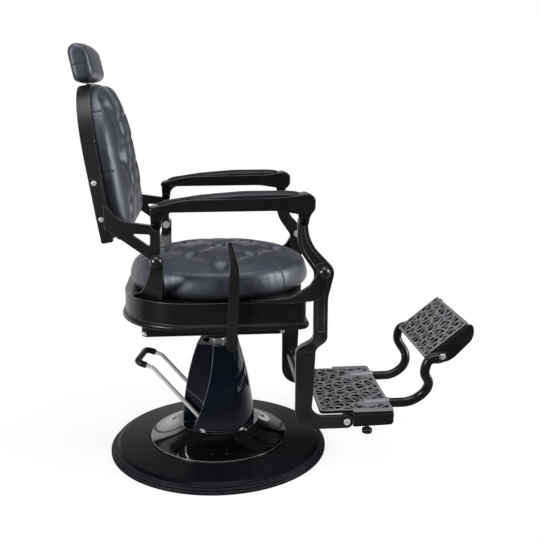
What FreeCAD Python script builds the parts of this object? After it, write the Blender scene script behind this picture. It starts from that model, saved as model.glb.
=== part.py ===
import FreeCAD, Part
import math
import os
from FreeCAD import Vector

# A barber chair: hydraulic pedestal, swivelling round seat, reclining tufted back, and a footrest
# that swings forward with the back through the armrests, a four-bar linkage on each side.
# Millimetres. X points forward, Y to the sitter's left, Z up, origin on the floor under the pump.

# Clearances
running = 0.05          # radial play of a turning or sliding fit
seated = 0.02           # radial play of a pin fixed in its hole
clear = 0.3             # play between neighbours that don't touch
layer_gap = 1.0         # side play between the two layers of the linkage

# Base disc, bell and column
base_radius = 330.0
base_rim_height = 26.0
base_crown_height = 34.0
rim_steps = 3
rim_step_run = 6.0
rim_bevel = 10.0
base_sheet = 3.0
base_plate_inset = 18.0
base_plate_thickness = 10.0
bell_radius = 208.0
bell_edge = 4.0
bell_hollow = 7.0
column_foot_height = 86.0
column_height = 251.0
column_radius = 110.0
column_top_radius = 64.0
column_wall = 5.0
rear_case_half_width = 48.0
rear_case_depth = 104.0
rear_case_top_depth = 56.0
pump_turn = -10.0

# Pump and ram
pump_flange_radius = 80.0
pump_flange_thickness = 12.0
pump_radius = 36.0
ram_radius = 25.0
ram_stroke = 150.0
spindle_radius = 22.0
spindle_length = 40.0
pedal_pivot_back = 30.0
pedal_pivot_height = 88.0
pedal_shaft_radius = 8.0
pedal_half_spacing = 60.0
pedal_rod_radius = 6.0
pedal_reach = 206.0
pedal_rise = 191.0
pedal_tread = 48.0
pedal_grip_radius = 9.5

# Seat
hub_height = 33.0
hub_flange_thickness = 12.0
underframe_height = 48.0
underframe_front = 190.0
underframe_back = 215.0
underframe_half_width = 150.0
pan_half_width = 268.0
pan_back = 262.0
pan_corner = 200.0
pan_front = 236.0
pan_front_corner = 24.0
pan_height = 77.0
pan_sheet = 3.5
pan_flange = 48.0
pan_lip = 9.0
pan_lip_height = 17.0
cushion_radius = 261.0
cushion_forward = 9.0
cushion_height = 113.0
cushion_crown = 31.0
tuft_pitch_x = 90.0
tuft_pitch_y = 102.0

# Linkage: pivots A and D on the seat, B and C on the armrest
arm_half_spacing = 288.0
pivot_a = (-157.0, 647.0)
pivot_b = (-155.0, 737.0)
pivot_c = (221.0, 742.0)
pivot_d = (273.0, 611.0)
inner_layer = 16.0
outer_layer = 14.0
pivot_pin_radius = 6.0
pivot_ball_radius = 17.0
arm_screw_radius = 4.0
linkage_play = 2.2

# Back and headrest
back_x = -300.0
back_z = 690.0
back_lean = 8.7
back_to_link = 17.0     # from the hoop's side to the side links
back_height = 398.0
back_depth = 35.0
back_band = 14.0
back_top_radius = 185.0
back_foot_radius = 30.0
back_cushion_depth = 75.0
back_cushion_start = 22.0
back_tuft_pitch_y = 75.0
back_tuft_pitch_z = 70.0
headrest_width = 262.0
headrest_height = 104.0
headrest_depth = 67.0
headrest_gap = 5.0
post_width = 40.0
post_thickness = 8.0
socket_length = 120.0

# Armrests
arm_half_width = 28.0
arm_round = 6.0
arm_pad_half_width = 27.0
arm_pad_rise = 13.0
arm_pad_skirt = 5.0

# Footrest
leg_half_spacing = 185.0
leg_thickness = 14.0
leg_edge = 3.0
leg_groove_inset = 10.0
leg_groove_depth = 1.5
deck_pivot = (366.0, 139.0)
deck_bar_height = 38.0
deck_back = 290.0
deck_front = 505.0
deck_half_width = 192.0
deck_thickness = 9.0
foot_bar_half_spacing = 115.0
foot_bar_radius = 14.0
tread_pivot = (648.0, 319.0)
tread_angle = 39.0
tread_length = 162.0
tread_half_width = 150.0
tread_thickness = 8.0
tread_screw_radius = 5.0
lug_thickness = 12.0
web_width = 5.2

# Recline lever
lever_pivot = (32.0, 420.0)
lever_length = 270.0
lever_width = 31.0
lever_thickness = 12.0
lever_shaft_radius = 8.0

# Heights that follow from the sizes above
column_top = column_foot_height + column_height
pump_top = column_top - 2 * column_wall
bore_foot = pedal_pivot_height + 22.0
ram_shoulder = column_top + 15.0
hub_foot = ram_shoulder + clear
flange_foot = hub_foot + hub_height
underframe_foot = flange_foot + hub_flange_thickness
pan_foot = underframe_foot + underframe_height
pan_top = pan_foot + pan_height
cushion_foot = pan_top + clear
cushion_top = cushion_foot + cushion_height

# Side planes of the linkage, measured from the middle of the chair
outer_face = arm_half_spacing + layer_gap + outer_layer
outer_back = arm_half_spacing + layer_gap
inner_face = arm_half_spacing
inner_back = arm_half_spacing - inner_layer
back_half_width = inner_back - back_to_link


def fitted_radii(corners, closed):
    """Corner radii, made smaller where two neighbours don't fit on the side between them."""
    count = len(corners)
    reach = []
    for i, (here, radius) in enumerate(corners):
        end = not closed and i in (0, count - 1)
        into = here - corners[i - 1][0]
        out = corners[(i + 1) % count][0] - here
        reach.append(0.0 if end else radius * math.tan(into.getAngle(out) / 2))
    shares = [1.0] * count
    for i in range(count):
        after = (i + 1) % count
        side = 0.998 * corners[i][0].distanceToPoint(corners[after][0])
        needed = reach[i] + reach[after]
        if needed > side:
            shares[i] = min(shares[i], side / needed)
            shares[after] = min(shares[after], side / needed)
    return [radius * share for (_, radius), share in zip(corners, shares)]


def rounded_wire(corners, closed=True):
    """Wire through (point, radius) corners, straight between them and rounded at each corner."""
    count = len(corners)
    edges = []
    joints = []
    fitted = fitted_radii(corners, closed)
    for i, (here, _) in enumerate(corners):
        radius = fitted[i]
        if not closed and i in (0, count - 1):
            joints.append((here, here))
            continue
        into = (here - corners[i - 1][0]).normalize()
        out = (corners[(i + 1) % count][0] - here).normalize()
        turn = into.getAngle(out)
        if radius <= 0 or turn < 1e-6:
            joints.append((here, here))
            continue
        back = radius * math.tan(turn / 2)
        start = here - into * back
        end = here + out * back
        inward = (out - into).normalize()
        middle = here + inward * (radius / math.cos(turn / 2) - radius)
        joints.append((start, end))
        edges.append((i, Part.Arc(start, middle, end).toShape()))
    arcs = dict(edges)
    chain = []
    for i in range(count):
        if i in arcs:
            chain.append(arcs[i])
        if not closed and i == count - 1:
            break
        a = joints[i][1]
        b = joints[(i + 1) % count][0]
        if a.distanceToPoint(b) > 1e-6:
            chain.append(Part.LineSegment(a, b).toShape())
    return Part.Wire(Part.__sortEdges__(chain))


def side_face(outline, y):
    """Face in a plane facing sideways from (x, z, corner radius) points."""
    return Part.Face(rounded_wire([(Vector(x, y, z), r) for x, z, r in outline]))


def side_plate(outline, y_from, y_to):
    """Plate from a side outline, from one distance off the chair's middle to another, right side."""
    return side_face(outline, -y_from).extrude(Vector(0, y_from - y_to, 0))


def top_face(outline, z):
    """Face in a level plane from (x, y, corner radius) points."""
    return Part.Face(rounded_wire([(Vector(x, y, z), r) for x, y, r in outline]))


def top_plate(outline, z_from, z_to):
    """Plate from a plan outline between two heights."""
    return top_face(outline, z_from).extrude(Vector(0, 0, z_to - z_from))


def turned(edges):
    """Body turned about the Z axis from a closed chain of edges in the XZ plane."""
    face = Part.Face(Part.Wire(Part.__sortEdges__(edges)))
    return face.revolve(Vector(0, 0, 0), Vector(0, 0, 1), 360)


def turned_outline(points):
    """Body turned about the Z axis from (radius, height) points."""
    corners = [(Vector(r, 0, z), 0) for r, z in points]
    return turned(rounded_wire(corners).Edges)


def line(a, b):
    """Straight edge in the XZ plane."""
    return Part.LineSegment(Vector(a[0], 0, a[1]), Vector(b[0], 0, b[1])).toShape()


def arc(a, b, c):
    """Arc in the XZ plane through three points."""
    return Part.Arc(Vector(a[0], 0, a[1]), Vector(b[0], 0, b[1]), Vector(c[0], 0, c[1])).toShape()


def cross_pin(at, radius, y_from, y_to):
    """Round pin across the chair on the right side, between two distances off its middle."""
    return Part.makeCylinder(radius, y_to - y_from, Vector(at[0], -y_from, at[1]), Vector(0, -1, 0))


def upright(x, y, radius, z_from, z_to):
    """Round post between two heights."""
    return Part.makeCylinder(radius, z_to - z_from, Vector(x, y, z_from))


def swept_rod(corners, radius):
    """Round rod along a rounded path of (point, bend radius)."""
    path = rounded_wire(corners, closed=False)
    start = corners[0][0]
    heading = (corners[1][0] - start).normalize()
    section = Part.Wire(Part.makeCircle(radius, start, heading))
    sweep = Part.BRepOffsetAPI_MakePipeShell(path) if hasattr(Part, "BRepOffsetAPI_MakePipeShell") \
        else Part.BRepOffsetAPI.MakePipeShell(path)
    sweep.add(section)
    sweep.build()
    sweep.makeSolid()
    return sweep.shape()


def hex_bolt(x, y, head_z, head_height, across, shank_radius, shank_end):
    """Upright hexagon bolt; a negative head height hangs the head under head_z."""
    corners = []
    for k in range(6):
        turn = math.radians(60 * k)
        corners.append((x + across / math.sqrt(3) * math.cos(turn),
                        y + across / math.sqrt(3) * math.sin(turn), 0))
    head = top_plate(corners, head_z, head_z + head_height)
    low = min(head_z, shank_end)
    shank = upright(x, y, shank_radius, low, max(head_z, shank_end))
    return head.fuse(shank).removeSplitter()


def mirrored(shape):
    """The same piece on the chair's other side."""
    return shape.mirror(Vector(0, 0, 0), Vector(0, 1, 0))


def pair(shape):
    """A right-hand piece with its left-hand twin."""
    return [shape, mirrored(shape)]


def save(name, *solids):
    """Write one node."""
    shape = solids[0] if len(solids) == 1 else Part.makeCompound(list(solids))
    shape.exportStep("parts/" + name + ".step")


os.makedirs("parts", exist_ok=True)

# Base: a steel weight disc under a spun cover with a stepped rim, and the polished bell on top
plate_radius = base_radius - base_plate_inset
cover_bore = pump_flange_radius + 20.0
rim_rise = base_rim_height / (rim_steps + 1)
bell_top_radius = math.hypot(rear_case_depth, rear_case_half_width) + 8.0
bolt_circle = 0.81 * pump_flange_radius
bolt_turns = [45 + 90 * k for k in range(4)]
bolt_spots = [(bolt_circle * math.cos(math.radians(t)), bolt_circle * math.sin(math.radians(t)))
              for t in bolt_turns]
bolt_radius = 5.0

base_plate = upright(0, 0, plate_radius, 0, base_plate_thickness)
for x, y in bolt_spots:
    base_plate = base_plate.cut(upright(x, y, bolt_radius + clear, 4, base_plate_thickness + 1))
save("base_plate", base_plate)

cover_points = [(base_radius, 0)]
for k in range(1, rim_steps + 1):
    cover_points.append((base_radius - (k - 1) * rim_step_run, k * rim_rise))
    cover_points.append((base_radius - k * rim_step_run, k * rim_rise))
bevel_radius = base_radius - rim_steps * rim_step_run - rim_bevel
cover_points += [(bevel_radius, base_rim_height), (bell_radius + bell_edge, base_crown_height),
                 (cover_bore, base_crown_height), (cover_bore, base_crown_height - base_sheet),
                 (bell_radius, base_crown_height - base_sheet),
                 (bevel_radius, base_rim_height - base_sheet),
                 (plate_radius + clear, rim_steps * rim_rise - base_sheet), (plate_radius + clear, 0)]
save("base_cover", turned_outline(cover_points))


def bell_curve(drop):
    """Hollow sweep of the bell, lowered for its inside."""
    foot = (bell_radius - drop, base_crown_height + bell_edge - drop / 2)
    top = (bell_top_radius - drop / 2, column_foot_height - drop)
    mid = ((foot[0] + top[0]) / 2 - bell_hollow, (foot[1] + top[1]) / 2 - bell_hollow)
    return foot, mid, top


outer_foot, outer_mid, outer_top = bell_curve(0)
inner_foot, inner_mid, inner_top = bell_curve(base_sheet)
bell_floor = (bell_radius, base_crown_height)
bell_inside = (bell_radius - base_sheet, base_crown_height)
bell_bore = (cover_bore, column_foot_height)
bell_bore_low = (cover_bore, column_foot_height - base_sheet)
save("bell_cover", turned([line(bell_floor, outer_foot), arc(outer_foot, outer_mid, outer_top),
                           line(outer_top, bell_bore), line(bell_bore, bell_bore_low),
                           line(bell_bore_low, inner_top), arc(inner_top, inner_mid, inner_foot),
                           line(inner_foot, bell_inside), line(bell_inside, bell_floor)]))

# Pump: flanged cylinder with a cross bore low down for the pedal's shaft
pedal_pivot = (-pedal_pivot_back, pedal_pivot_height)
eye_width = 14.0
eye_inside = pedal_half_spacing - eye_width / 2
shaft_end = pedal_half_spacing + eye_width / 2 + 3.0
flange_top = base_plate_thickness + pump_flange_thickness
pump_body = turned_outline([(0, base_plate_thickness), (pump_flange_radius, base_plate_thickness),
                            (pump_flange_radius, flange_top), (pump_radius, flange_top),
                            (pump_radius, pump_top), (ram_radius + running, pump_top),
                            (ram_radius + running, bore_foot), (0, bore_foot)])
boss_half = rear_case_half_width - column_wall - 1.0
boss = cross_pin(pedal_pivot, 2 * pedal_shaft_radius, -boss_half, boss_half)
cross_bore = cross_pin(pedal_pivot, pedal_shaft_radius + seated, -shaft_end, shaft_end)
pump_body = pump_body.fuse(boss).cut(cross_bore).removeSplitter()
pump_body = pump_body.cut(upright(0, 0, ram_radius + running, bore_foot, pump_top + 1))
pedal_shaft = cross_pin(pedal_pivot, pedal_shaft_radius, -shaft_end, shaft_end)
save("base_bolts", *[hex_bolt(x, y, flange_top, 7, 16, bolt_radius, 4.5) for x, y in bolt_spots])

# Column casing: a round front shell that overlaps a flat-sided rear shell, open to the pedal's rods
split_top = -3.0
split_mid = -15.0
split_foot = -65.0
mid_share = 0.53
case_mid = column_foot_height + mid_share * column_height


def column_radius_at_mid(inset):
    """Radius of the casing at its middle height."""
    bulge = 7.5
    return column_top_radius + (1 - mid_share) * (column_radius - column_top_radius) + bulge - inset


def round_case(inset, foot, top):
    """Solid of the round casing, inset by a wall."""
    low = (column_radius - inset, foot)
    mid = (column_radius_at_mid(inset), case_mid)
    high = (column_top_radius - inset, top)
    return turned([line((0, foot), low), arc(low, mid, high), line(high, (0, top)),
                   line((0, top), (0, foot))])


def behind_split(shift):
    """Everything behind the front shell's rear edge."""
    far = -3 * column_radius
    low = (split_foot + shift, column_foot_height)
    mid = (split_mid + shift, case_mid)
    high = (split_top + shift, column_top)
    edges = [line((far, column_foot_height), low), arc(low, mid, high),
             line(high, (far, column_top)), line((far, column_top), (far, column_foot_height))]
    face = Part.Face(Part.Wire(Part.__sortEdges__(edges)))
    face.translate(Vector(0, -2 * column_radius, 0))
    return face.extrude(Vector(0, 4 * column_radius, 0))


def rear_case(inset, tuck, top):
    """Solid of the flat-sided rear casing, reaching into the front shell."""
    half = rear_case_half_width - inset
    bulge = 10.0
    mid_depth = rear_case_top_depth + (1 - mid_share) * (rear_case_depth - rear_case_top_depth) + bulge
    low = (-rear_case_depth + inset, column_foot_height)
    mid = (-mid_depth + inset, case_mid)
    high = (-rear_case_top_depth + inset, top)
    front_low = (split_foot + tuck, column_foot_height)
    front_mid = (split_mid + tuck, case_mid)
    front_high = (split_top + tuck, top)
    edges = [arc(low, mid, high), line(high, front_high), arc(front_high, front_mid, front_low),
             line(front_low, low)]
    face = Part.Face(Part.Wire(Part.__sortEdges__(edges)))
    face.translate(Vector(0, -half, 0))
    return face.extrude(Vector(0, 2 * half, 0))


case_roof = column_top - column_wall
case_tuck = column_wall + 7.0
ram_hole = upright(0, 0, pump_radius + 8.0, column_foot_height - 1, column_top + 1)
front_case = round_case(0, column_foot_height, column_top).cut(behind_split(0))
hollow = round_case(column_wall, column_foot_height, case_roof).cut(behind_split(column_wall))
front_case = front_case.cut(hollow).cut(ram_hole)
front_case = front_case.cut(rear_case(-clear, case_tuck + 3 * column_wall, column_top + clear))
slot_top = pedal_pivot_height + 62.0
for side in (-1, 1):
    slot = Part.makeBox(2 * column_radius, 3 * pedal_rod_radius, slot_top - column_foot_height + 1,
                        Vector(-2 * column_radius, side * pedal_half_spacing - 1.5 * pedal_rod_radius,
                               column_foot_height - 1))
    front_case = front_case.cut(slot)
rear_shell = rear_case(0, case_tuck, column_top)
corner_edges = [e for e in rear_shell.Edges
                if e.BoundBox.XMax < -rear_case_top_depth + 1 and e.BoundBox.ZLength > 0.9 * column_height]
rear_shell = rear_shell.makeFillet(9.0, corner_edges)
rear_shell = rear_shell.cut(rear_case(column_wall, case_tuck + 1, case_roof)).cut(ram_hole)
recess_depth = 0.5 * column_wall
recess = side_plate([(-rear_case_depth - 20, slot_top + 72, 0), (-40, slot_top + 2, 0),
                     (-40, column_foot_height - 1, 0),
                     (-rear_case_depth - 20, column_foot_height - 1, 0)],
                    rear_case_half_width - recess_depth, rear_case_half_width + 5)
rear_shell = rear_shell.cut(recess).cut(mirrored(recess))


def on_pump(shape):
    """Turn a pedestal piece to the way the pump faces."""
    turned_shape = shape.copy()
    turned_shape.rotate(Vector(0, 0, 0), Vector(0, 0, 1), pump_turn)
    return turned_shape


save("column_front", on_pump(front_case))
save("column_rear", on_pump(rear_shell))
save("pump_shaft", on_pump(pedal_shaft))
pump_body = on_pump(pump_body)
for x, y in bolt_spots:
    pump_body = pump_body.cut(upright(x, y, bolt_radius + clear, 0, flange_top + 1))
save("pump_body", pump_body)

# Pump pedal: a bent rod with an eye at each end, and a rubber sleeve over its tread
knee = (-pedal_pivot_back - pedal_reach + pedal_tread, pedal_pivot_height + pedal_rise - 0.33 * pedal_tread)
tip = (-pedal_pivot_back - pedal_reach, pedal_pivot_height + pedal_rise)
hp = pedal_half_spacing
pedal_path = [(Vector(pedal_pivot[0], -hp, pedal_pivot[1]), 0), (Vector(knee[0], -hp, knee[1]), 40),
              (Vector(tip[0], -hp, tip[1]), 18), (Vector(tip[0], hp, tip[1]), 18),
              (Vector(knee[0], hp, knee[1]), 40), (Vector(pedal_pivot[0], hp, pedal_pivot[1]), 0)]
pedal = swept_rod(pedal_path, pedal_rod_radius)
eye_half = eye_width / 2
for side in (-1, 1):
    eye = cross_pin(pedal_pivot, pedal_shaft_radius + 6, side * hp - eye_half, side * hp + eye_half)
    pedal = pedal.fuse(eye)
for side in (-1, 1):
    eye_bore = cross_pin(pedal_pivot, pedal_shaft_radius + running,
                         side * hp - 2 * eye_half, side * hp + 2 * eye_half)
    pedal = pedal.cut(eye_bore)
save("pump_pedal", on_pump(pedal.removeSplitter()))
grip_start = Vector(knee[0], -hp, knee[1]) * 0.6 + Vector(tip[0], -hp, tip[1]) * 0.4
grip_end = Vector(grip_start.x, hp, grip_start.z)
grip_path = [(grip_start, 0), (Vector(tip[0], -hp, tip[1]), 18),
             (Vector(tip[0], hp, tip[1]), 18), (grip_end, 0)]
grip = swept_rod(grip_path, pedal_grip_radius).cut(swept_rod(grip_path, pedal_rod_radius + seated))
save("pump_grip", on_pump(grip))

# Ram, and the hub that turns on its spindle and carries the seat
ram = turned_outline([(0, bore_foot + 2), (ram_radius, bore_foot + 2), (ram_radius, ram_shoulder),
                      (spindle_radius, ram_shoulder), (spindle_radius, ram_shoulder + spindle_length),
                      (0, ram_shoulder + spindle_length)])
save("ram", ram)
hub_radius = spindle_radius + 16.0
hub_flange_radius = hub_radius + 47.0
hub_bolt_circle = hub_flange_radius - 18.0
hub_spots = [(hub_bolt_circle * math.cos(math.radians(t)), hub_bolt_circle * math.sin(math.radians(t)))
             for t in bolt_turns]
spindle_bore = spindle_radius + running
bore_top = ram_shoulder + spindle_length + 1.0
seat_hub = turned_outline([(spindle_bore, hub_foot), (hub_radius, hub_foot), (hub_radius, flange_foot),
                           (hub_flange_radius, flange_foot), (hub_flange_radius, underframe_foot),
                           (0, underframe_foot), (0, bore_top), (spindle_bore, bore_top)])
floor_thickness = 6.0
underframe_floor = underframe_foot + floor_thickness
for x, y in hub_spots:
    seat_hub = seat_hub.cut(upright(x, y, bolt_radius + clear, flange_foot - 1, underframe_foot + 1))
save("seat_hub", seat_hub)
save("hub_bolts", *[hex_bolt(x, y, flange_foot, -7, 16, bolt_radius, underframe_floor) for x, y in hub_spots])

# Underframe: a pressed steel tray between the hub and the seat pan, bushed for the recline lever
tray = [(-underframe_back, -underframe_half_width, 20), (underframe_front, -underframe_half_width, 20),
        (underframe_front, underframe_half_width, 20), (-underframe_back, underframe_half_width, 20)]
tray_wall = 5.0
tray_inside = [(-underframe_back + tray_wall, -underframe_half_width + tray_wall, 15),
               (underframe_front - tray_wall, -underframe_half_width + tray_wall, 15),
               (underframe_front - tray_wall, underframe_half_width - tray_wall, 15),
               (-underframe_back + tray_wall, underframe_half_width - tray_wall, 15)]
underframe = top_plate(tray, underframe_foot, pan_foot)
underframe = underframe.cut(top_plate(tray_inside, underframe_floor, pan_foot + 1))
for x, y in hub_spots:
    underframe = underframe.cut(upright(x, y, bolt_radius + clear, 0, pan_foot))
bush_radius = lever_shaft_radius + 6.0
tray_face = underframe_half_width
underframe = underframe.cut(cross_pin(lever_pivot, bush_radius + seated, tray_face - 20, tray_face + 20))
save("underframe", underframe.removeSplitter())
tray_screws = []
for x in (-underframe_back + 9.0, underframe_front - 9.0):
    spot = (x, underframe_foot + 9.0)
    screw = cross_pin(spot, 7.0, tray_face, tray_face + 5)
    screw = screw.makeFillet(3.0, [min(screw.Edges, key=lambda e: e.BoundBox.YMax)])
    tray_screws += pair(screw)
save("tray_screws", *tray_screws)
bush = cross_pin(lever_pivot, bush_radius, tray_face - tray_wall - 6, tray_face + 10)
bush = bush.fuse(cross_pin(lever_pivot, bush_radius + 5, tray_face, tray_face + 4))
bush = bush.cut(cross_pin(lever_pivot, lever_shaft_radius + running, tray_face - 40, tray_face + 40))
save("lever_bush", bush.removeSplitter())

# Recline lever: a folded paddle outside the pan on a shaft through the bush
lever_in = pan_half_width + pan_lip + 8.0
lever_out = lever_in + lever_thickness
lx, lz = lever_pivot
half = lever_width / 2
bend = lz + 0.72 * lever_length
lever_outline = [(lx - half + 2, lz - 22, 8), (lx + half, lz - 22, 8), (lx + half + 8, bend - 20, 60),
                 (lx + half + 5, bend + 12, 30), (lx + 4, lz + lever_length, 3),
                 (lx - 7, lz + lever_length, 3), (lx + 1, bend + 10, 40), (lx - half + 10, bend - 30, 60)]
lever = side_plate(lever_outline, lever_in, lever_out)
rib = side_plate([(lx + 8, bend - 10, 2), (lx + 15, bend - 8, 2), (lx + 3, lz + lever_length - 14, 1),
                  (lx - 1, lz + lever_length - 14, 1)], lever_out, lever_out + 3)
lever = lever.fuse(rib)
lever = lever.cut(cross_pin(lever_pivot, lever_shaft_radius + seated, lever_in - 1, lever_out + 1))
save("recline_lever", lever.removeSplitter())
shaft_inside = tray_face - tray_wall - 20
lever_shaft = cross_pin(lever_pivot, lever_shaft_radius, shaft_inside, lever_out)
lever_shaft = lever_shaft.fuse(cross_pin(lever_pivot, bush_radius, tray_face + 10 + clear, lever_in))
cam = side_plate([(lx - 10, lz - 12, 8), (lx + 10, lz - 12, 8), (lx + 8, lz + 18, 6), (lx - 8, lz + 18, 6)],
                 shaft_inside, shaft_inside + 8)
save("lever_shaft", lever_shaft.fuse(cam).removeSplitter())


def pan_outline(inset):
    """Plan of the seat pan: broad round corners at the back, small ones at the front."""
    side = pan_half_width - inset
    back = -pan_back + inset
    front = pan_front - inset
    small = max(pan_front_corner - inset, 4.0)
    broad = pan_corner - inset
    return rounded_wire([(Vector(back, -side, 0), broad), (Vector(front, -side, 0), small),
                         (Vector(front, side, 0), small), (Vector(back, side, 0), broad)])


def pan_block(inset, z_from, z_to):
    """Solid of the pan's plan between two heights."""
    face = Part.Face(pan_outline(inset))
    face.translate(Vector(0, 0, z_from))
    return face.extrude(Vector(0, 0, z_to - z_from))


# Seat pan: floor, upright band with a rolled lip at its foot, and a flange turned in at the top
lip = pan_block(-pan_lip, pan_foot, pan_foot + pan_lip_height)
lip_edges = [e for e in lip.Edges if e.BoundBox.ZLength < 0.01]
lip = lip.makeFillet(0.9 * min(pan_lip, pan_lip_height / 2), lip_edges)
seat_pan = lip.fuse(pan_block(0, pan_foot, pan_top))
seat_pan = seat_pan.cut(pan_block(pan_sheet, pan_foot + pan_sheet, pan_top - pan_sheet))
seat_pan = seat_pan.cut(pan_block(pan_flange, pan_top - 2 * pan_sheet, pan_top + 1))
board_thickness = 12.0
save("seat_board", pan_block(pan_flange + clear, pan_top - board_thickness, pan_top))

# Seat cushion: a round drum with a rolled edge and a crown, drawn down at its buttons
shoulder = 34.0
crown_radius = cushion_radius - 24.0
side_foot = cushion_foot + 26.0
side_top = cushion_top - cushion_crown - shoulder / 2
edge = (crown_radius, cushion_top - cushion_crown)
crown_mid = (crown_radius / 2, cushion_top - cushion_crown / 4)
roll = (cushion_radius - 5, cushion_top - cushion_crown - 7)
seat_cushion = turned([line((0, cushion_foot), (cushion_radius - 16, cushion_foot)),
                       arc((cushion_radius - 16, cushion_foot), (cushion_radius - 3.5, cushion_foot + 11),
                           (cushion_radius, side_foot)),
                       line((cushion_radius, side_foot), (cushion_radius, side_top)),
                       arc((cushion_radius, side_top), roll, edge),
                       arc(edge, crown_mid, (0, cushion_top)), line((0, cushion_top), (0, cushion_foot))])


def seat_surface(x, y):
    """Height of the cushion's crown before tufting."""
    return cushion_top - cushion_crown * (x * x + y * y) / crown_radius ** 2


tufts = []
for i in range(-2, 3):
    for j in range(-2, 3):
        spot = (i * tuft_pitch_x, j * tuft_pitch_y)
        if (i + j) % 2 == 0 and math.hypot(*spot) < crown_radius - 20:
            tufts.append(spot)
dimple_radius = 46.0
dimple_depth = 15.0
pleat_radius = 70.0
pleat_depth = 5.0
for x, y in tufts:
    middle = seat_surface(x, y) + dimple_radius - dimple_depth
    seat_cushion = seat_cushion.cut(Part.makeSphere(dimple_radius, Vector(x, y, middle)))
for k, (x, y) in enumerate(tufts):
    for u, v in tufts[k + 1:]:
        if abs(abs(u - x) - tuft_pitch_x) < 1 and abs(abs(v - y) - tuft_pitch_y) < 1:
            start = Vector(x, y, seat_surface(x, y) + pleat_radius - pleat_depth)
            end = Vector(u, v, seat_surface(u, v) + pleat_radius - pleat_depth)
            groove = Part.makeCylinder(pleat_radius, start.distanceToPoint(end), start, end - start)
            seat_cushion = seat_cushion.cut(groove)
button_radius = 9.0
button_height = 5.0
seat_buttons = []
for x, y in tufts:
    floor = seat_surface(x, y) - dimple_depth
    sag = dimple_radius - math.sqrt(dimple_radius ** 2 - button_radius ** 2)
    button = upright(x, y, button_radius, floor + sag + seated, floor + sag + button_height)
    button = button.makeFillet(2.0, [button.Edges[0]])
    seat_buttons.append(button)
seat_cushion.translate(Vector(cushion_forward, 0, 0))
for button in seat_buttons:
    button.translate(Vector(cushion_forward, 0, 0))
save("seat_cushion", seat_cushion)
save("seat_buttons", *seat_buttons)

# Rear brackets: cast feet on the pan's flange that flare up and out to the back pivots
eye_radius = 16.0
ax, az = pivot_a
foot_heel = Vector(-226.0, -150.0, 0)
foot_toe = Vector(-146.0, -228.0, 0)
bracket_shoulder = az - eye_radius - 8.0


def level_quad(middle, along, half_length, half_width, z):
    """Level four-sided section about a middle point."""
    across = Vector(-along.y, along.x, 0)
    points = []
    for a, b in ((-1, -1), (1, -1), (1, 1), (-1, 1)):
        spot = middle + along * (a * half_length) + across * (b * half_width)
        points.append(Vector(spot.x, spot.y, z))
    return Part.makePolygon(points + [points[0]])


foot_length = foot_heel.distanceToPoint(foot_toe)
foot_along = (foot_toe - foot_heel).normalize()
crown_toe = Vector(ax + eye_radius, -(outer_back + outer_layer / 2), 0)
sections = []
for share, width in ((0.0, foot_length), (0.06, 0.92 * foot_length), (0.16, 0.69 * foot_length),
                     (0.32, 0.53 * foot_length), (0.55, 0.41 * foot_length), (1.0, 2 * eye_radius)):
    toe = foot_toe * (1 - share) + crown_toe * share
    along = (foot_along * (1 - share) + Vector(1, 0, 0) * share).normalize()
    level = pan_top + share * (bracket_shoulder - pan_top)
    thick = 9.0 * (1 - share) + outer_layer / 2 * share
    sections.append(level_quad(toe - along * (width / 2), along, width / 2, thick, level))
rear_bracket = Part.makeLoft(sections, True, True)
bracket_neck = [(ax - eye_radius, bracket_shoulder, 0), (ax + eye_radius, bracket_shoulder, 0),
                (ax + eye_radius, az, 0), (ax - eye_radius, az, 0)]
rear_bracket = rear_bracket.fuse(side_plate(bracket_neck, outer_back, outer_face))
rear_bracket = rear_bracket.fuse(cross_pin(pivot_a, eye_radius, outer_back, outer_face))
rear_bracket = rear_bracket.cut(cross_pin(pivot_a, pivot_pin_radius + seated, outer_back - 1, outer_face + 1))
rear_bracket = rear_bracket.removeSplitter()
save("rear_bracket_right", rear_bracket)
save("rear_bracket_left", mirrored(rear_bracket))

# Front horns: cast arms that rise from the pan's flange to the footrest pivots
dx, dz = pivot_d
horn_start = dx - 163.0
horn_turn = pan_front + 4.0
flange_outer = pan_half_width - 2.0
horn_slope = (outer_face - flange_outer) / (horn_turn - horn_start)


def horn_point(x, z, radius):
    """Corner of the slanted part of a horn, which moves outward as it runs forward."""
    return (Vector(x, -(flange_outer + (x - horn_start) * horn_slope), z), radius)


horn_lift = 9.0
horn_slant = Part.Face(rounded_wire([horn_point(horn_start, pan_top, 0),
                                     horn_point(horn_start + 75, pan_top, 140),
                                     horn_point(horn_turn, pan_top + horn_lift, 0),
                                     horn_point(horn_turn, pan_top + 52, 0),
                                     horn_point(horn_start + 80, pan_top + 14, 110),
                                     horn_point(horn_start, pan_top + 5, 0)]))
horn = horn_slant.extrude(Vector(0, outer_layer, 0))
pad_thickness = 5.0
pad_length = 26.0
pad_inner = flange_outer - outer_layer
horn_pad = top_plate([(horn_start - pad_length, -flange_outer, 6), (horn_start + 12, -flange_outer, 0),
                      (horn_start + 12, -pad_inner, 0), (horn_start - pad_length, -pad_inner, 6)],
                     pan_top, pan_top + pad_thickness)
horn = horn.fuse(horn_pad)
horn_bolt = (horn_start - pad_length / 2, -(flange_outer - outer_layer / 2))
horn_bolt_radius = 3.0
horn = horn.cut(upright(*horn_bolt, horn_bolt_radius + clear, pan_top - 1, pan_top + 2 * pad_thickness))
horn_front = side_plate([(horn_turn, pan_top + horn_lift, 0), (dx + 5, pan_top + horn_lift + 8, 34),
                         (dx + eye_radius, dz, 0), (dx - eye_radius, dz, 0),
                         (dx - eye_radius - 3, dz - 13, 20), (horn_turn, pan_top + 52, 0)],
                        outer_back, outer_face)
horn = horn.fuse(horn_front).fuse(cross_pin(pivot_d, eye_radius, outer_back, outer_face))
horn = horn.cut(cross_pin(pivot_d, pivot_pin_radius + seated, outer_back - 1, outer_face + 1))
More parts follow.
